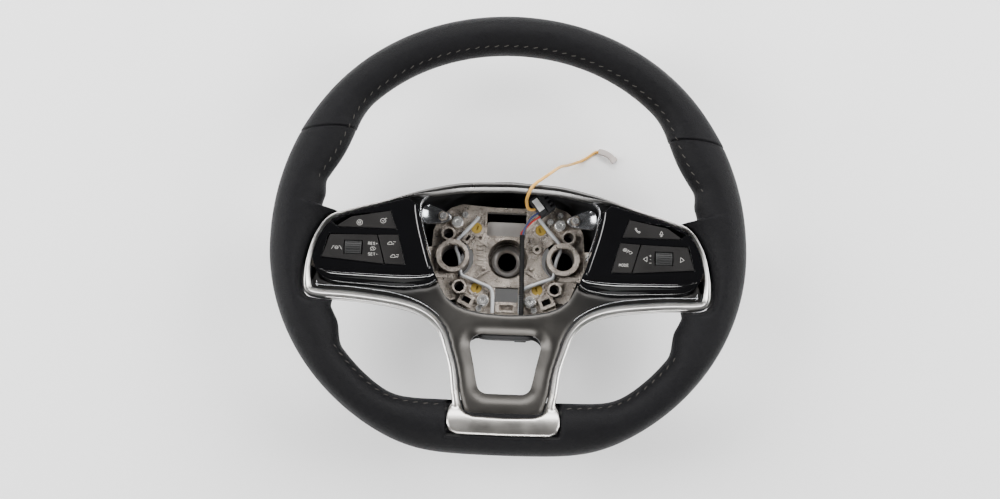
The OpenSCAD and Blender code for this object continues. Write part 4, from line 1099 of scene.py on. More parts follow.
@dataclass
class SwitchPod:
    """Keys, roller and printed marks of one pod."""

    side: Side
    key_z: float = 95.3
    stroke: float = 0.27
    edge_z: tuple[float, float] = (84.0, 92.6)
    fold_y: float = -18.3
    fall: float = 0.53
    ridges: tuple[float, float] = (0.3, 0.86)

    @property
    def word(self) -> str:
        """Name of the side as the CAD nodes spell it."""
        return self.side.name.lower()

    def place(self, points: Sequence[Sequence[float]], at: tuple[float, float]) -> np.ndarray:
        """Mark points moved to their place on this side's key; marks themselves aren't mirrored."""
        return (np.asarray(points, float) + [at[0] * self.side.value, at[1]]) * MM

    def print_marks(self, key: str, lines: Sequence[np.ndarray]) -> None:
        """Puts marks on top of a key and lets them move with it."""
        obj = ribbon(f"{self.word}_{key}_marks", lines, self.stroke * MM, (self.key_z + 0.04) * MM)
        dress(obj, FINISH.marks, f"{self.word}_{key}")

    def letters(self, word: str, at: tuple[float, float], tall: float = 2.0) -> list[np.ndarray]:
        """A short word in single strokes, centred at a place.

        Args:
            word: letters that STROKES holds.
            at: its middle, on the right key.
            tall: letter height in millimetres.

        Returns:
            The strokes in metres.
        """
        wide, pitch = tall * 0.62, tall * 0.98
        first = -pitch * (len(word) - 1) / 2 - wide / 2
        out = []
        for k, letter in enumerate(word):
            for stroke in STROKES[letter]:
                p = np.array(stroke, float) * [wide, tall] + [first + k * pitch, -tall / 2]
                out.append(self.place(p, at))
        return out

    def loop(
        self, at: tuple[float, float], rx: float, ry: float, start: float = 0, stop: float = 360
    ) -> np.ndarray:
        """An oval arc as a mark."""
        a = np.radians(np.linspace(start, stop, 25))
        return self.place(np.stack([rx * np.cos(a), ry * np.sin(a)], axis=1), at)

    def car(self, at: tuple[float, float], ahead: int) -> list[np.ndarray]:
        """A small car's outline with lines ahead of it."""
        body = [[-3.1, -0.9], [-3.1, 0.1], [-2.3, 0.3], [-1.8, 1.2], [-0.4, 1.2], [0.2, 0.2], [0.5, -0.9],
                [-3.1, -0.9]]  # fmt: skip
        out = [self.place(body, at)]
        for k in range(ahead):
            x = 1.2 + 0.95 * k
            out.append(self.place([[x, -0.9], [x + 0.5, 0.2 + 0.35 * k]], at))
        return out + [self.place([[1.1, 1.3], [3.1, 1.3]], at)]

    def marks(self) -> None:
        """Printed marks, as the two sides have them."""
        if self.side is Side.RIGHT:
            handset = [[-2.1, 1.5], [-1.5, 2.0], [-0.8, 1.2], [-1.1, 0.6], [0.5, -0.9],
                       [1.1, -0.6], [1.9, -1.3],
                       [1.3, -1.9], [0.3, -1.8], [-1.2, -0.5], [-2.0, 0.8], [-2.1, 1.5]]  # fmt: skip
            inner = [[-1.6, 1.0], [-1.1, 1.4], [-0.9, 0.9], [-1.3, 0.5], [0.6, -1.2], [1.0, -0.9], [1.3, -1.3]]
            self.print_marks("upper_key", [
                self.place(handset, (99.2, 19.0)), self.place(inner, (99.2, 19.0)),
                self.loop((117.6, 17.6), 0.75, 1.3), self.loop((117.6, 17.4), 1.35, 1.6, 190, 350),
                self.place([[0, -1.7], [0, -2.5]], (117.6, 17.5)),
                self.place([[-0.8, -2.5], [0.8, -2.5]], (117.6, 17.5)),
            ])  # fmt: skip
            triangle = np.array([[1.4, 1.9], [-1.5, 0], [1.4, -1.9], [1.4, 1.9]])
            self.print_marks("main_key", [
                self.place(triangle, (105.3, -3.2)), self.place(-triangle, (134.0, -2.8)),
                self.place([[-0.8, 0], [0.8, 0]], (109.3, -0.5)),
                self.place([[0, -0.8], [0, 0.8]], (109.3, -0.5)),
                self.place([[-0.35, 0], [0.35, 0]], (109.3, -3.3)),
                self.place([[-0.9, 0], [0.9, 0]], (109.3, -6.1)),
            ])  # fmt: skip
            self.print_marks("inner_key", [
                self.loop((89.6, 3.4), 1.5, 1.1), self.loop((89.6, 3.4), 0.7, 0.5),
                self.place([[-1.0, -1.2], [0.8, 1.2]], (91.8, 2.4)),
                self.loop((93.6, 1.4), 1.5, 0.9, -120, 120),
                self.place([[-1.2, 1.5], [-0.4, 0.8], [-1.2, 0.2]], (93.6, 1.4)),
            ] + self.letters("MODE", (88.8, -8.5)))  # fmt: skip
        else:
            self.print_marks("upper_key", [
                self.loop((115.9, 17.0), 2.1, 2.1), self.loop((115.9, 17.0), 0.8, 1.2),
                self.place([[-1.2, 0], [1.2, 0]], (115.9, 17.0)), self.loop((97.9, 19.0), 2.0, 1.8, 60, 400),
                self.place([[-0.9, 0.2], [0.3, -0.5], [1.6, 1.9], [2.8, 2.0]], (97.9, 19.0)),
            ])  # fmt: skip
            self.print_marks("main_key", [
                self.place([[-3.9, -1.3], [-2.6, 1.1], [-1.8, 1.4]], (132.5, -3.2)),
                self.place([[3.9, -1.3], [2.6, 1.1], [1.8, 1.4]], (132.5, -3.2)),
                self.loop((132.5, -3.2), 1.3, 1.1), self.place([[-1.3, 0], [1.3, 0]], (132.5, -3.2)),
                self.loop((104.6, -3.0), 1.9, 1.3, 20, 330),
                self.place([[-0.6, 0.9], [1.2, -1.0], [2.4, 0.2]], (104.6, -3.0)),
                self.place([[-1.8, -1.3], [-0.6, -0.2]], (104.6, -3.6)),
            ] + self.letters("RES+", (104.8, 0.9)) + self.letters("SET-", (104.4, -7.4)))  # fmt: skip
            self.print_marks("inner_key", self.car((90.4, 1.6), 1) + self.car((87.6, -8.4), 2))

    def build(self) -> None:
        """Dresses the pod's CAD nodes and prints its marks."""
        w = self.word
        self.follow(refine(f"{w}_switch_bezel", FINISH.gloss, 0.7 * MM, 4, 40))
        for key in ("upper_key", "main_key", "inner_key"):
            refine(f"{w}_{key}", FINISH.keys, 0.5 * MM, 3, 40, f"{w}_{key}")
        refine(f"{w}_roller", FINISH.roller, 0.12 * MM, 1, 40, f"{w}_roller")
        refine(f"{w}_key_mat", FINISH.silicone, 0)
        refine(f"{w}_switch_board", FINISH.board, 0)
        refine(f"{w}_switch_housing", FINISH.grained, 0.15 * MM)
        self.bracket()
        self.bay_edge()
        self.skirt()
        self.shoulder()
        self.marks()

    def follow(self, bezel: bpy.types.Object) -> None:
        """Moves the bezel's outer edge with the trim's fuller corner, and nothing else of it."""
        inner = []
        for outline in (SpokeOutline(fullness=0.0, widening=0.0), SpokeOutline()):
            line = outline.line(24)
            inner.append(line[:, :2] + line[:, 3:] * outline.inward(line))
        co = np.empty(3 * len(bezel.data.vertices), np.float32)
        bezel.data.vertices.foreach_get("co", co)
        co = co.reshape(-1, 3).astype(float)
        flat = co[:, :2] / MM * [self.side.value, 1]
        apart = np.linalg.norm(flat[:, None] - inner[0][None], axis=-1)
        near, gap = apart.argmin(axis=1), apart.min(axis=1)
        move = (inner[1] - inner[0])[near] * (1 - smoothstep((gap - 0.9) / 1.8))[:, None]
        co[:, :2] += move * [self.side.value, 1] * MM
        bezel.data.vertices.foreach_set("co", co.astype(np.float32).ravel())
        bezel.data.update()

    def bracket(self) -> None:
        """The bright tab on its screw: stacked copies of a rounded outline, thicker at the rim.

        Each ring is the outline scaled about the screw, and the scale and height step through a
        rounded edge, a raised border and a sunk middle.
        """
        corner = [[70.5, 37.5], [66, 40.5], [61, 39.2], [52.6, 35.8],
                  [48.0, 33.4], [46.6, 30.4], [48.6, 27.4],
                  [53, 25.6], [60, 24.6], [67, 24.2], [70.6, 27.4], [71.4, 32]]  # fmt: skip
        line = spline(corner, 6, closed=True)
        middle = np.array([57.5, 31.2])
        steps = np.array([[0.02, 57.4], [0.93, 57.4], [1.0, 58.4], [1.0, 61.6], [0.97, 62.5], [0.91, 62.8],
                          [0.84, 62.4], [0.78, 61.3], [0.3, 61.1], [0.02, 61.1]])  # fmt: skip
        xy = middle + (line - middle)[None] * steps[:, :1, None]
        z = np.broadcast_to(steps[:, 1:, None], (*xy.shape[:2], 1))
        grid = np.concatenate([xy, z], axis=2) * np.array([self.side.value, 1, 1])
        obj = grid_object(f"{self.word}_bracket_tab", grid * MM)
        sharpen(obj, 55)
        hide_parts(f"{self.word}_trim_bracket")
        dress(obj, FINISH.chrome)

    def shoulder(self) -> None:
        """Rounded gloss shoulder along the face's side to the bay: a tapered rod sunk into it."""
        line = spline([[73.6, 33.0], [72.3, 25.0], [69.8, 14.0], [66.4, 2.0], [62.2, -12.0], [60.6, -17.4]], 8)
        taper = np.sin(np.linspace(0.1, math.pi - 0.1, len(line))) ** 0.4
        radius = 2.3 * taper
        path = np.c_[line[:, 0] * self.side.value, line[:, 1], self.key_z - 0.45 - radius]
        obj = grid_object(f"{self.word}_pod_shoulder", tube_grid(path * MM, radius * MM, 20))
        sharpen(obj, 60)
        dress(obj, FINISH.gloss)

    def skirt(self) -> None:
        """Gloss slope from the face's lower edge down to the lip, with two soft ridges.

        A share v runs down the slope; the height is the face's height less 0.53 per millimetre
        below the fold, plus a ridge of 0.5 * exp(-((v - v0) / 0.06)^2) at each of two shares.
        """
        lip = [[54.9, -25.0], [61, -29.5], [80, -32.7], [107, -31.6], [134, -29.7], [143, -25.5],
               [147.4, -20.6]]  # fmt: skip
        low = even(spline(lip, 12), 90)
        high = np.stack([np.linspace(57.6, 147.6, 90), np.full(90, self.fold_y)], axis=1)
        v = np.linspace(0, 1, 29)[None, :, None]
        xy = high[:, None] * (1 - v) + low[:, None] * v
        drop = self.fall * (self.fold_y - xy[..., 1])
        ridges = sum(0.5 * np.exp(-(((v[..., 0] - at) / 0.06) ** 2)) for at in self.ridges)
        end = np.clip(np.arange(90) / 5, 0, 1) * np.clip((89 - np.arange(90)) / 5, 0, 1)
        top = self.key_z - 0.62 - drop + ridges * end[:, None] - 0.5 * v[..., 0] ** 12
        upper = np.stack([xy[..., 0] * self.side.value, xy[..., 1], top], axis=-1)
        under = upper[:, ::-1] - [0.0, 0.0, 1.6]
        obj = grid_object(f"{self.word}_pod_skirt", np.concatenate([upper, under], axis=1) * MM)
        sharpen(obj, 40)
        dress(obj, FINISH.gloss)

    def bay_edge(self) -> None:
        """Bright wall along the pod's side of the bay: a flat oval section carried along it."""
        way = [[55.2, 44.6], [61.5, 42.2], [67.2, 38.4], [69.9, 32], [67.8, 18], [63.8, 4], [60.4, -6]]
        path = spline(way, 10)
        t = np.gradient(path, axis=0)
        t /= np.linalg.norm(t, axis=1, keepdims=True)
        n = np.stack([-t[:, 1], t[:, 0]], axis=1)
        a = np.linspace(0, 2 * np.pi, 16, endpoint=False)
        taper = np.sin(np.linspace(0.12, math.pi - 0.12, len(path))) ** 0.35
        middle, half = sum(self.edge_z) / 2, (self.edge_z[1] - self.edge_z[0]) / 2
        across = 0.75 * np.cos(a)[None] * taper[:, None]
        grid = np.stack([
            (path[:, :1] + across * n[:, :1]) * self.side.value, path[:, 1:] + across * n[:, 1:],
            middle + half * np.sin(a)[None] * taper[:, None],
        ], axis=-1)  # fmt: skip
        dress(grid_object(f"{self.word}_bay_edge", grid * MM), FINISH.chrome)


# Hub and covers


@dataclass
class Hub:
    """Casting, bush, bolts, buttons and springs."""

    wire_r: float = 1.5
    wire_z: float = 52.0
    # x, y, half width, half depth, turn in degrees and height of each small land
    lands: tuple = (
        (-22.4, 10.5, 3.0, 0.7, 4, 1.3), (-22.3, 7.0, 3.0, 0.6, 4, 1.0), (-22.1, 2.3, 3.1, 0.7, 0, 1.3),
        (-22.0, -1.4, 2.9, 0.6, -3, 1.0), (-21.8, -5.8, 3.2, 0.8, -6, 1.4), (-19.0, -8.4, 1.7, 1.7, 0, 2.2),
        (19.4, -7.4, 1.8, 1.8, 0, 2.2), (22.0, 0.8, 2.4, 0.7, 12, 1.2), (-18.9, 32.2, 0.6, 5.4, 0, 1.6),
        (15.6, 29.0, 0.6, 6.2, 0, 1.6), (-1.7, 17.9, 15.2, 0.5, 0, 0.9), (-21.2, 34.0, 2.0, 0.6, 32, 1.2),
        (-31.0, 9.0, 0.7, 2.6, 24, 1.3), (29.6, 9.4, 0.7, 2.6, -24, 1.3), (-13.5, -18.2, 3.6, 0.7, 24, 1.0),
        (13.5, -18.2, 3.6, 0.7, -24, 1.0), (-26.5, -29.8, 2.6, 0.8, 40, 1.6), (26.5, -29.8, 2.6, 0.8, -40, 1.6),
        (-15.4, -29.8, 0.7, 4.2, 0, 1.5), (15.8, -29.8, 0.7, 4.2, 0, 1.5), (-36.0, 33.2, 2.4, 0.8, -30, 1.5),
        (36.0, 34.2, 2.4, 0.8, 30, 1.5), (-20.4, 20.4, 1.2, 1.2, 45, 1.2), (18.6, 17.6, 1.3, 1.3, 20, 1.3),
    )  # fmt: skip

    def springs(self) -> None:
        """The two retaining springs as smooth round wires."""
        half = [
            [-24.6, 33.2], [-28.4, 28.2], [-35.3, 20.2], [-41.2, 13.4], [-42.1, 7.2], [-39.8, 1.2],
            [-38.4, -4.8], [-38, -9.5], [-37, -14.6], [-33, -16.6], [-28.6, -18.2], [-21.5, -21],
            [-15.4, -23.4], [-12.4, -26],
            [-11.2, -29.6], [-11, -36], [-11, -44.4],
        ]  # fmt: skip
        path = np.c_[np.array(half), np.full(len(half), self.wire_z)]
        for side in Side:
            line = spline(path * np.array([-side.value, 1, 1]), 8)
            obj = grid_object(f"{side.name.lower()}_spring_wire", tube_grid(line * MM, self.wire_r * MM, 14))
            sharpen(obj, 50)
            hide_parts(f"{side.name.lower()}_retaining_spring")
            dress(obj, FINISH.wire)

    def shelf(self) -> None:
        """Sunk floor of the upper opening, open along its top: a plate with rounded edges."""
        corners = [[-17.5, 18.9], [14.1, 18.9], [14.1, 30.4], [12.0, 31.2], [-15.4, 31.2], [-17.5, 30.4]]
        rings = [[0.96, 40.2], [1.0, 40.6], [1.0, 42.6], [0.97, 43.0], [0.02, 43.0]]
        xy, middle = np.array(corners), np.array([-1.7, 25.0])
        step = np.array([[0.02, 40.2]] + rings)
        points = middle + (xy - middle)[None] * step[:, :1, None]
        grid = np.concatenate([points, np.broadcast_to(step[:, 1:, None], (*points.shape[:2], 1))], axis=2)
        obj = grid_object("upper_opening_floor", grid * MM)
        sharpen(obj, 30)
        dress(obj, FINISH.plain_cast)

    def pads(self) -> None:
        """Small raised lands and ribs of the casting: rounded rectangles, each four rings high.

        A corner of the rectangle is rounded by the 4th power oval: x = w * sign(c) * |c|^0.5 and
        y = h * sign(s) * |s|^0.5 for the cosine c and sine s of its angle.
        """
        spots = np.array(self.lands)
        a = np.linspace(0, 2 * np.pi, 24, endpoint=False)
        c, s = np.cos(a), np.sin(a)
        unit = np.stack([np.sign(c) * np.abs(c) ** 0.5, np.sign(s) * np.abs(s) ** 0.5], axis=1)
        rings = np.array([[1.0, 0.0], [0.98, 0.72], [0.9, 0.94], [0.7, 1.0], [0.02, 1.0]])
        local = unit[None, None] * rings[None, :, None, :1] * spots[:, None, None, 2:4]
        turn = np.radians(spots[:, 4])
        cos, sin = np.cos(turn)[:, None, None], np.sin(turn)[:, None, None]
        x = spots[:, 0, None, None] + cos * local[..., 0] - sin * local[..., 1]
        y = spots[:, 1, None, None] + sin * local[..., 0] + cos * local[..., 1]
        z = np.broadcast_to(47.6 + rings[None, :, 1, None] * (spots[:, 5, None, None] + 0.4), x.shape)
        points = np.stack([x, y, z], axis=-1)
        one = grid_faces(len(rings), len(a), False, True)
        size = len(rings) * len(a)
        faces = [f for k in range(len(spots)) for f in (one + k * size).tolist()]
        for k in range(len(spots)):
            foot = k * size + np.arange(len(a))
            faces += [foot[::-1].tolist(), (foot + size - len(a)).tolist()]
        obj = mesh_object("cast_lands", points.reshape(-1, 3) * MM, faces)
        face_out(obj)
        sharpen(obj, 50)
        dress(obj, FINISH.cast)

    def bolts(self) -> None:
        """The four hex bolts: rings whose radius follows a hexagon above the washer.

        A ring's radius at angle a is flat / cos(a to the nearest flat's middle) where its share
        of the hexagon is 1 and the plain radius where it is 0; the last rings sink into a dimple.
        """
        a = np.linspace(0, 2 * np.pi, 48, endpoint=False)
        hexagon = 4.0 / np.cos((a + np.pi / 6) % (np.pi / 3) - np.pi / 6)
        rows = np.array([
            [2.9, -11.9, 0], [2.9, -0.1, 0], [4.7, 0.0, 0], [4.75, 0.55, 0], [4.5, 0.9, 0], [1.0, 1.0, 1],
            [1.0, 3.1, 1], [0.9, 3.6, 1], [0.74, 3.62, 1], [1.9, 3.55, 0], [1.5, 2.5, 0], [0.05, 2.4, 0],
        ])  # fmt: skip
        r = np.where(rows[:, 2:] > 0, rows[:, :1] * hexagon[None], rows[:, :1])
        one = np.stack([r * np.cos(a), r * np.sin(a), np.repeat(rows[:, 1:2], 48, 1)], axis=-1)
        spots = [(41.8, 28.6), (19.0, -34.7)]
        pieces = []
        for k, (x, y) in enumerate((sx * px, py) for px, py in spots for sx in (1, -1)):
            turn = math.radians(17.0 + 23.0 * k)
            c, n = math.cos(turn), math.sin(turn)
            turned = one @ np.array([[c, n, 0], [-n, c, 0], [0, 0, 1.0]])
            pieces.append(turned + [x, y, 51.0])
        rows_n, cols = one.shape[:2]
        faces = grid_faces(rows_n, cols, False, True)
        ends = [np.arange(cols)[::-1], (rows_n - 1) * cols + np.arange(cols)]
        all_faces = [f.tolist() for k in range(4) for f in faces + k * rows_n * cols]
        all_faces += [(e + k * rows_n * cols).tolist() for k in range(4) for e in ends]
        obj = mesh_object("hub_bolts", np.concatenate([q.reshape(-1, 3) for q in pieces]) * MM, all_faces)
        face_out(obj)
        sharpen(obj, 28)
        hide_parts("hex_bolts")
        dress(obj, FINISH.zinc)

    def build(self) -> None:
        """Dresses the hub."""
        refine("armature", FINISH.cast, 0.45 * MM, 2, 28)
        self.shelf()
        self.pads()
        refine("column_bush", FINISH.steel, 0.15 * MM, 1, 40)
        refine("rim_hoop", FINISH.steel, 0)
        refine("spring_buttons", FINISH.amber, 0.4 * MM, 3, 40)
        self.bolts()
        refine("small_screws", FINISH.zinc, 0.15 * MM, 2, 35)
        self.springs()


@dataclass
class Covers:
    """Lower bezel with the dark strip of painted shade at its edge and its inlay, back cover and window wall.
    """

    outline: SpokeOutline
    pitch: float = 2.2
    roll: float = 10.0
    sink: float = 5.0
    edge_roll: float = 3.2
    edge_sink: float = 1.3
    inlay_end: float = 57.0

    def level(self, y: np.ndarray) -> np.ndarray:
        """Height of the bezel's face: 90 at its hinge line, rising by 0.091 towards the bar."""
        return 90.0 + (-45.0 - y) * 0.091

    def away(self, xy: np.ndarray, ends: np.ndarray) -> np.ndarray:
        """Distance of each point to the nearest of a set of segments, in the wheel's plane.

        Args:
            xy: the points.
            ends: both ends of each segment.

        Returns:
            One distance a point.
        """
        if not len(ends):
            return np.full(len(xy), 1e3)
        a, b = ends[:, 0], ends[:, 1]
        run = b - a
        s = ((xy[:, None] - a[None]) * run[None]).sum(-1) / np.maximum((run * run).sum(-1), 1e-9)[None]
        near = a[None] + np.clip(s, 0, 1)[..., None] * run[None]
        return np.linalg.norm(xy[:, None] - near, axis=-1).min(axis=1)

    def bezel(self) -> None:
        """The bezel: the CAD plate cut into small faces, then dished and drawn outwards.

        With d the distance to the window's edge, every point sinks by
        sink * (1 - d / roll)^2, and by edge_sink * (1 - d / edge_roll)^2 near the outer edge.
        """
        obj = refine("lower_bezel", FINISH.gunmetal, 0, crease=50)
        bm = bmesh.new()
        bm.from_mesh(obj.data)
        rim = [e for e in bm.edges if len(e.link_faces) == 2 and e.calc_face_angle() > 0.9
               and max(f.normal.z for f in e.link_faces) > 0.8]  # fmt: skip
        ends = np.array([[v.co[:2] for v in e.verts] for e in rim]) / MM
        inside = ((np.abs(ends[..., 0]) < 30) & (ends[..., 1] > -111.6) & (ends[..., 1] < -60)).all(axis=1)
        for axis, start, stop in ((0, -146.0, 147.0), (1, -132.0, -22.0)):
            for at in np.arange(start, stop, self.pitch):
                place, normal = [0.0] * 3, [0.0] * 3
                place[axis], normal[axis] = at * MM, 1.0
                parts = bm.verts[:] + bm.edges[:] + bm.faces[:]
                bmesh.ops.bisect_plane(bm, geom=parts, dist=1e-6, plane_co=place, plane_no=normal)
        bm.to_mesh(obj.data)
        bm.free()
        co = np.empty(3 * len(obj.data.vertices), np.float32)
        obj.data.vertices.foreach_get("co", co)
        co = co.reshape(-1, 3).astype(float) / MM
        hole, brim = self.away(co[:, :2], ends[inside]), self.away(co[:, :2], ends[~inside])
        fall = self.sink * np.clip(1 - hole / self.roll, 0, 1) ** 2
        fall += self.edge_sink * np.clip(1 - brim / self.edge_roll, 0, 1) ** 2
        co[:, 2] -= fall
        # the window is drawn straighter than the CAD's, the outer edge follows the legs
        share = brim / (hole + brim + 1e-6)
        drawn = self.drawn(co[:, 1])
        legs = self.outline.spread(co[:, 1])
        narrow = np.abs(co[:, 0]) < 48
        co[:, 0] *= np.where(narrow, legs * (1 - share) + drawn * share, legs)
        obj.data.vertices.foreach_set("co", (co * MM).astype(np.float32).ravel())
        obj.data.update()
        obj.data.shade_smooth()
        sharpen(obj, 50)
        log.info("bezel cut into %d faces", len(obj.data.polygons))

    def drawn(self, y: np.ndarray) -> np.ndarray:
        """How much wider than the CAD's the window is drawn at a place along y."""
        return np.interp(-y, [50, 66, 76, 90, 105, 120], [1.0, 0.95, 0.94, 1.02, 1.18, 1.18])

    def widen(self, cover: bpy.types.Object) -> None:
        """Draws the cover's window as wide as the bezel's at its foot, fading out 10 mm from it."""
        co = np.empty(3 * len(cover.data.vertices), np.float32)
        cover.data.vertices.foreach_get("co", co)
        co = co.reshape(-1, 3).astype(float)
        x, y = co[:, 0] / MM, co[:, 1] / MM
        share = np.clip((33.0 - np.abs(x)) / 6.0, 0, 1) * ((y > -116) & (y < -84))
        co[:, 0] *= 1 + np.maximum(0.0, self.drawn(y) + 0.03 - 1) * share
        cover.data.vertices.foreach_set("co", co.astype(np.float32).ravel())
        cover.data.update()

    def seams(self) -> None:
        """Dark strip of painted shade in the gap where the bezel meets the trim, and the thin bright inlay
        beside it.
        """
        line = self.outline.line(10)
        n = self.outline.inward(line)
        low = (line[:, 1] < -27.0) & (np.arange(len(line)) > 60)
        line, n = line[low], n[low]
        for name, gap, more, radius, finish in (
            # the first is a dark tube standing in for the shade in the gap between bezel and trim
            ("bezel_gap_shade", 0.3, 0.0, 0.55, FINISH.grained), ("bezel_inlay", 1.9, 1.9, 0.32, FINISH.chrome),
        ):  # fmt: skip
            wing = smoothstep((line[:, 0] - 56.0) / 40.0)
            off = (line[:, 3] + gap + more * wing)[:, None]
            half = line[:, :2] + off * n
            if more == 0.0:
                foot = spline([half[-1], [26.0, -125.2], [14.0, -127.1], [0.0, -127.6]], 6)[1:]
                half = np.vstack([half, foot])
                path = np.vstack([half, half[::-1][1:] * [-1, 1]])
                paths = {name: path}
            else:
                half = half[line[:, 0] > self.inlay_end]
                paths = {f"{side.name.lower()}_{name}": half * [side.value, 1] for side in Side}
            for label, path in paths.items():
                z = self.level(path[:, 1]) - (0.05 if more else 0.6)
                tube = tube_grid(np.c_[path, z] * MM, radius * MM, 10)
                dress(grid_object(label, tube), finish)
        half_bay = [[0, -50.5], [17, -49.7], [31, -47.1], [40, -43.5], [47, -37.9]]
        bay = spline([[-x, y] for x, y in half_bay[:0:-1]] + half_bay, 8)
        tube = tube_grid(np.c_[bay, self.level(bay[:, 1]) - 0.9] * MM, 0.5 * MM, 10)
        dress(grid_object("bay_seam", tube), FINISH.grained)

    def build(self) -> None:
        """Dresses both."""
        self.bezel()
        self.seams()
        self.widen(refine("back_cover", FINISH.grained, 0, crease=38))
        self.shroud()

    def shroud(self) -> None:
        """Dark wall behind the window's top edge: a bowed strip that thins out at both ends."""
        u = np.linspace(-1, 1, 41)
        x, tall = 21.4 * u, np.sqrt(np.maximum(0.0, 1 - u**6))
        y = -66.0 - 2.2 * np.sqrt(np.maximum(0.0, 1 - u**4))
        across = np.array([0.0, 0.0, 0.5, 2.2, 3.0, 3.0])
        level = np.array([70.0, 85.6, 86.6, 86.6, 85.6, 70.0])
        z = 70.0 + (level - 70.0)[None] * (0.4 + 0.6 * tall[:, None])
        grid = np.stack([np.repeat(x[:, None], 6, 1), y[:, None] + across[None] + 0 * z, z], axis=-1)
        obj = grid_object("window_shroud", grid * MM)
        sharpen(obj, 40)
        dress(obj, FINISH.grained)


@dataclass
class Wiring:
    """Loom, single wires, connector and the airbag lead."""

    hub_z: float = 48.0
    spot: tuple[float, float] = (26.4, 43.8)
    tilt: float = -52.0
    width: float = 14.0
    lead_r: float = 1.25
    rest: float = -6.0

    def exit_at(self, along: float, z: float) -> np.ndarray:
        """Point on the connector's left face, a given way along it."""
        c, n = math.cos(math.radians(self.tilt)), math.sin(math.radians(self.tilt))
        x = self.spot[0] + c * along + n * self.width / 2
        y = self.spot[1] + n * along - c * self.width / 2
        return np.array([x, y, z])

    def way(self) -> np.ndarray:
        """Direction straight out of that face."""
        return np.array([math.sin(math.radians(self.tilt)), -math.cos(math.radians(self.tilt)), 0.0])

    def wire(
        self, name: str, points: Sequence, radius: float, finish: Finish, node: str, slot: str
    ) -> bpy.types.Object:
        """A smooth round wire through its route, shown for its CAD node.

        Args:
            name: the piece's name.
            points: its route in millimetres.
            radius: its radius in millimetres.
            finish: its finish.
            node: the CAD node.
            slot: not used.

        Returns:
            The new object.
        """
        line = spline(np.array(points), 8)
        obj = grid_object(name, tube_grid(line * MM, radius * MM, 14))
        sharpen(obj, 50)
        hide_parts(node)
        return dress(obj, finish)

    def sleeve(self) -> None:
        """Ribbed sleeve: the radius swings with the length along it."""
        h = self.hub_z
        route = [
            [11, 19, h + 7], [11, 14, h + 7], [11.1, 8, h + 7.2], [11.2, 0, h + 7.8], [11.4, -8, h + 8],
            [11.6, -16, h + 8.2], [11.8, -24, h + 8.2], [11.9, -32, h + 8.2],
            [12, -40, h + 8], [12.1, -46, h + 7],
            [12.2, -51, h + 4.4], [12.2, -55, h + 2.6], [12.2, -57, h + 2.6],
        ]  # fmt: skip
        line = even(spline(route, 12), 420)
        wave = 2.05 + 0.14 * np.sin(np.linspace(0, length_of(line) / 1.5 * 2 * np.pi, len(line)))
        obj = grid_object("loom_sleeve_ribbed", tube_grid(line * MM, wave * MM, 16))
        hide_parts("loom_sleeve")
        dress(obj, FINISH.sleeve)

    def lead(self) -> None:
        """The free lead: out of the connector, over the arch, down to the surface, to its end."""
        low = self.lead_r + self.rest
        start = self.exit_at(-1, 60)
        route = [
            start, start + 1.6 * self.way(), [15.4, 39.4, 62], [14, 40.6, 66], [13.3, 42, 72],
            [12.9, 42.8, 78],
            [12.9, 43.3, 84], [13.3, 44.4, 89], [14.3, 46.4, 93.2], [16.3, 50, 96.2], [19.5, 53.3, 97.2],
            [22.9, 55.9, 96.9], [26.6, 59.2, 94.4], [30, 62.8, 89], [34, 67.8, 79],
            [38, 73.3, 66], [41.6, 78, 52],
            [45, 82.2, 37], [48.6, 86.4, 22], [52.6, 90.4, 9.5], [57, 94, 0.5], [61.4, 96.8, low + 0.8],
            [66, 99.5, low], [70.4, 102.8, low], [73.4, 105, low], [75, 105.75, low], [76.6, 105.69, low],
        ]  # fmt: skip
        line = spline(np.array([list(p) for p in route]), 6) * MM
        obj = grid_object("airbag_lead_shown", tube_grid(line, self.lead_r * MM, 14))
        sharpen(obj, 50)
        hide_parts("airbag_lead")
        dress(obj, FINISH.orange)
        plug = refine("lead_plug", FINISH.pale, 0.4 * MM, 3)
        log.info("lead length %.1f mm", length_of(line) / MM)

    def build(self) -> None:
        """Builds all the wiring but the lead, which comes first."""
        h, out = self.hub_z, self.way()
        self.sleeve()
        red, blue = self.exit_at(6.4, h + 10), self.exit_at(3.6, h + 13)
        self.wire("wire_red_shown", [
            red, red + 1.6 * out, [18.4, 29.6, h + 9.6], [15, 26.2, h + 8.4], [11.6, 22.8, h + 6.8],
            [10.2, 20.6, h + 6.3], [10.2, 19, h + 6.3],
        ], 0.8, FINISH.red, "wire_red", "red_wire")  # fmt: skip
        self.wire("wire_blue_shown", [
            blue, blue + 1.6 * out, [17.8, 32.6, h + 12.8], [15, 28, h + 11.8], [12.6, 23.6, h + 9.8],
            [11.8, 20.6, h + 8], [11.8, 19, h + 8],
        ], 0.8, FINISH.blue, "wire_blue", "blue_wire")  # fmt: skip
        refine("loom_plug", FINISH.grained, 0.3 * MM)
        refine("connector_housing", FINISH.grained, 0.4 * MM, 3)
        refine("connector_label", FINISH.label, 0)


# Camera, light and floor


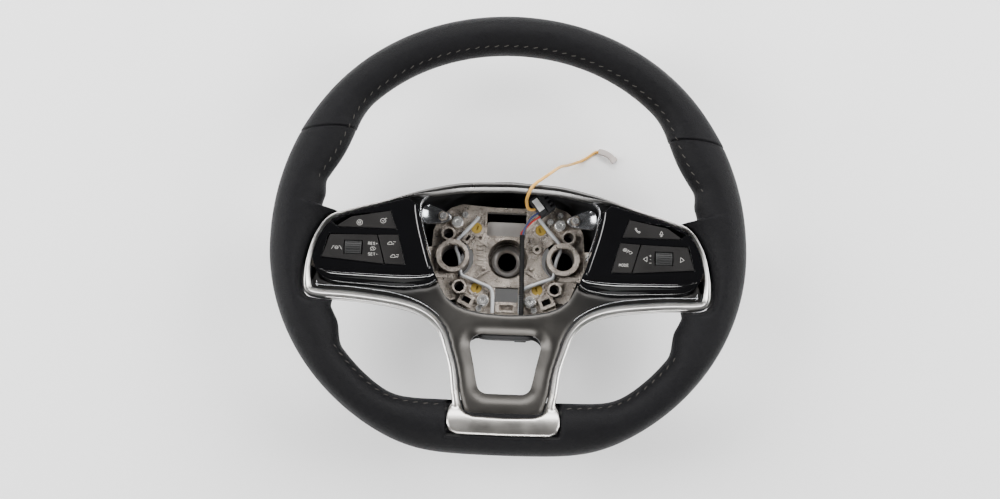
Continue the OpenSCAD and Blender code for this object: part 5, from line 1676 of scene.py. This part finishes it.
@dataclass
class Studio:
    """Camera at the photograph's angle, soft lights and a pale floor."""

    tilt: float = 9.5
    yaw: float = 1.0
    roll: float = 2.05
    distance: float = 0.9
    lens: float = 41.68
    target: tuple[float, float, float] = (0.0, 0.004, 0.088)
    shift: tuple[float, float] = (-0.009, -0.0032)
    floor_z: float = -0.006
    side_sky: float = 0.42
    top_sky: float = 0.10

    def camera(self) -> None:
        """Camera that looks at the rim's centre from the six o'clock side."""
        a, b, c = (math.radians(v) for v in (self.tilt, self.yaw, self.roll))
        away = Vector((-math.sin(b), -math.sin(a) * math.cos(b), math.cos(a) * math.cos(b)))
        right = (-away).cross(Vector((0, 1, 0))).normalized()
        up = right.cross(-away)
        right, up = math.cos(c) * right + math.sin(c) * up, -math.sin(c) * right + math.cos(c) * up
        turn = Matrix((right, up, away)).transposed()
        data = bpy.data.cameras.new("photo_camera")
        data.lens = self.lens
        data.sensor_width = 36.0
        data.sensor_fit = "HORIZONTAL"
        data.shift_x, data.shift_y = self.shift
        data.clip_start, data.clip_end = 0.05, 20.0
        cam = bpy.data.objects.new("photo_camera", data)
        cam.matrix_world = Matrix.Translation(Vector(self.target) + self.distance * away) @ turn.to_4x4()
        bpy.context.scene.collection.objects.link(cam)
        bpy.context.scene.camera = cam

    def area(
        self, name: str, place: tuple, aim: tuple, size: tuple, power: float, colour: Colour = (1, 1, 1)
    ) -> None:
        """A soft rectangular light that faces a point.

        Args:
            name: the light's name.
            place: where it stands.
            aim: the point that it faces.
            size: its two sides in metres.
            power: its power in watts.
            colour: its colour.
        """
        data = bpy.data.lights.new(name, "AREA")
        data.shape = "RECTANGLE"
        data.size, data.size_y = size
        data.energy = power
        data.color = colour
        lamp = bpy.data.objects.new(name, data)
        lamp.location = place
        lamp.rotation_euler = (Vector(aim) - Vector(place)).to_track_quat("-Z", "Y").to_euler()
        bpy.context.scene.collection.objects.link(lamp)

    def lights(self) -> None:
        """Large soft boxes overhead and to the sides, and an even pale surround."""
        self.area("back_box", (0.0, 1.25, 1.0), (0, 0, 0.05), (2.2, 0.7), 44.0)
        self.area("left_box", (-1.3, 0.1, 0.95), (0, 0, 0.05), (0.6, 1.5), 34.0)
        self.area("right_box", (1.3, 0.2, 0.95), (0, 0, 0.05), (0.6, 1.5), 31.0)
        self.area("front_box", (0.0, -1.3, 0.9), (0, 0, 0.05), (0.8, 0.12), 15.0)
        world = bpy.data.worlds.new("surround")
        world.use_nodes = True
        tree = world.node_tree
        nodes = Nodes(tree)
        place = nodes.add("ShaderNodeTexCoord").outputs["Generated"]
        height = nodes.add("ShaderNodeSeparateXYZ", {0: place}).outputs["Z"]
        # dim straight above, where the flat tops mirror it, and bright towards the sides
        tone = nodes.span(height, 0.55, 0.97, self.side_sky, self.top_sky)
        tree.links.new(tone, tree.nodes["Background"].inputs["Strength"])
        bpy.context.scene.world = world

    def floor(self) -> None:
        """A wide pale plane under the rear ring."""
        s = 4.0
        pts = np.array([[x, y, self.floor_z] for x, y in ((-s, -s), (s, -s), (s, s), (-s, s))])
        obj = mesh_object("floor", pts, [[0, 1, 2, 3]], smooth=False)
        obj.data.materials.append(FINISH.floor.build())


def main() -> None:
    """Builds the camera, the lead, and then each sub-assembly in order."""
    logging.basicConfig(level=logging.INFO, format="%(name)s %(message)s")
    studio = Studio()
    studio.camera()
    wiring = Wiring()
    wiring.lead()
    outline = SpokeOutline()
    rim = Rim(outline)
    rim.build()
    rim.foam()
    rim.stitches()
    trim = TrimLoop(outline)
    trim.strip()
    trim.bar()
    Hub().build()
    Covers(outline).build()
    for side in Side:
        SwitchPod(side).build()
    wiring.build()
    studio.lights()
    studio.floor()
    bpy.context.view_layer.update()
    log.info("built")


if __name__ == "__main__":
    main()
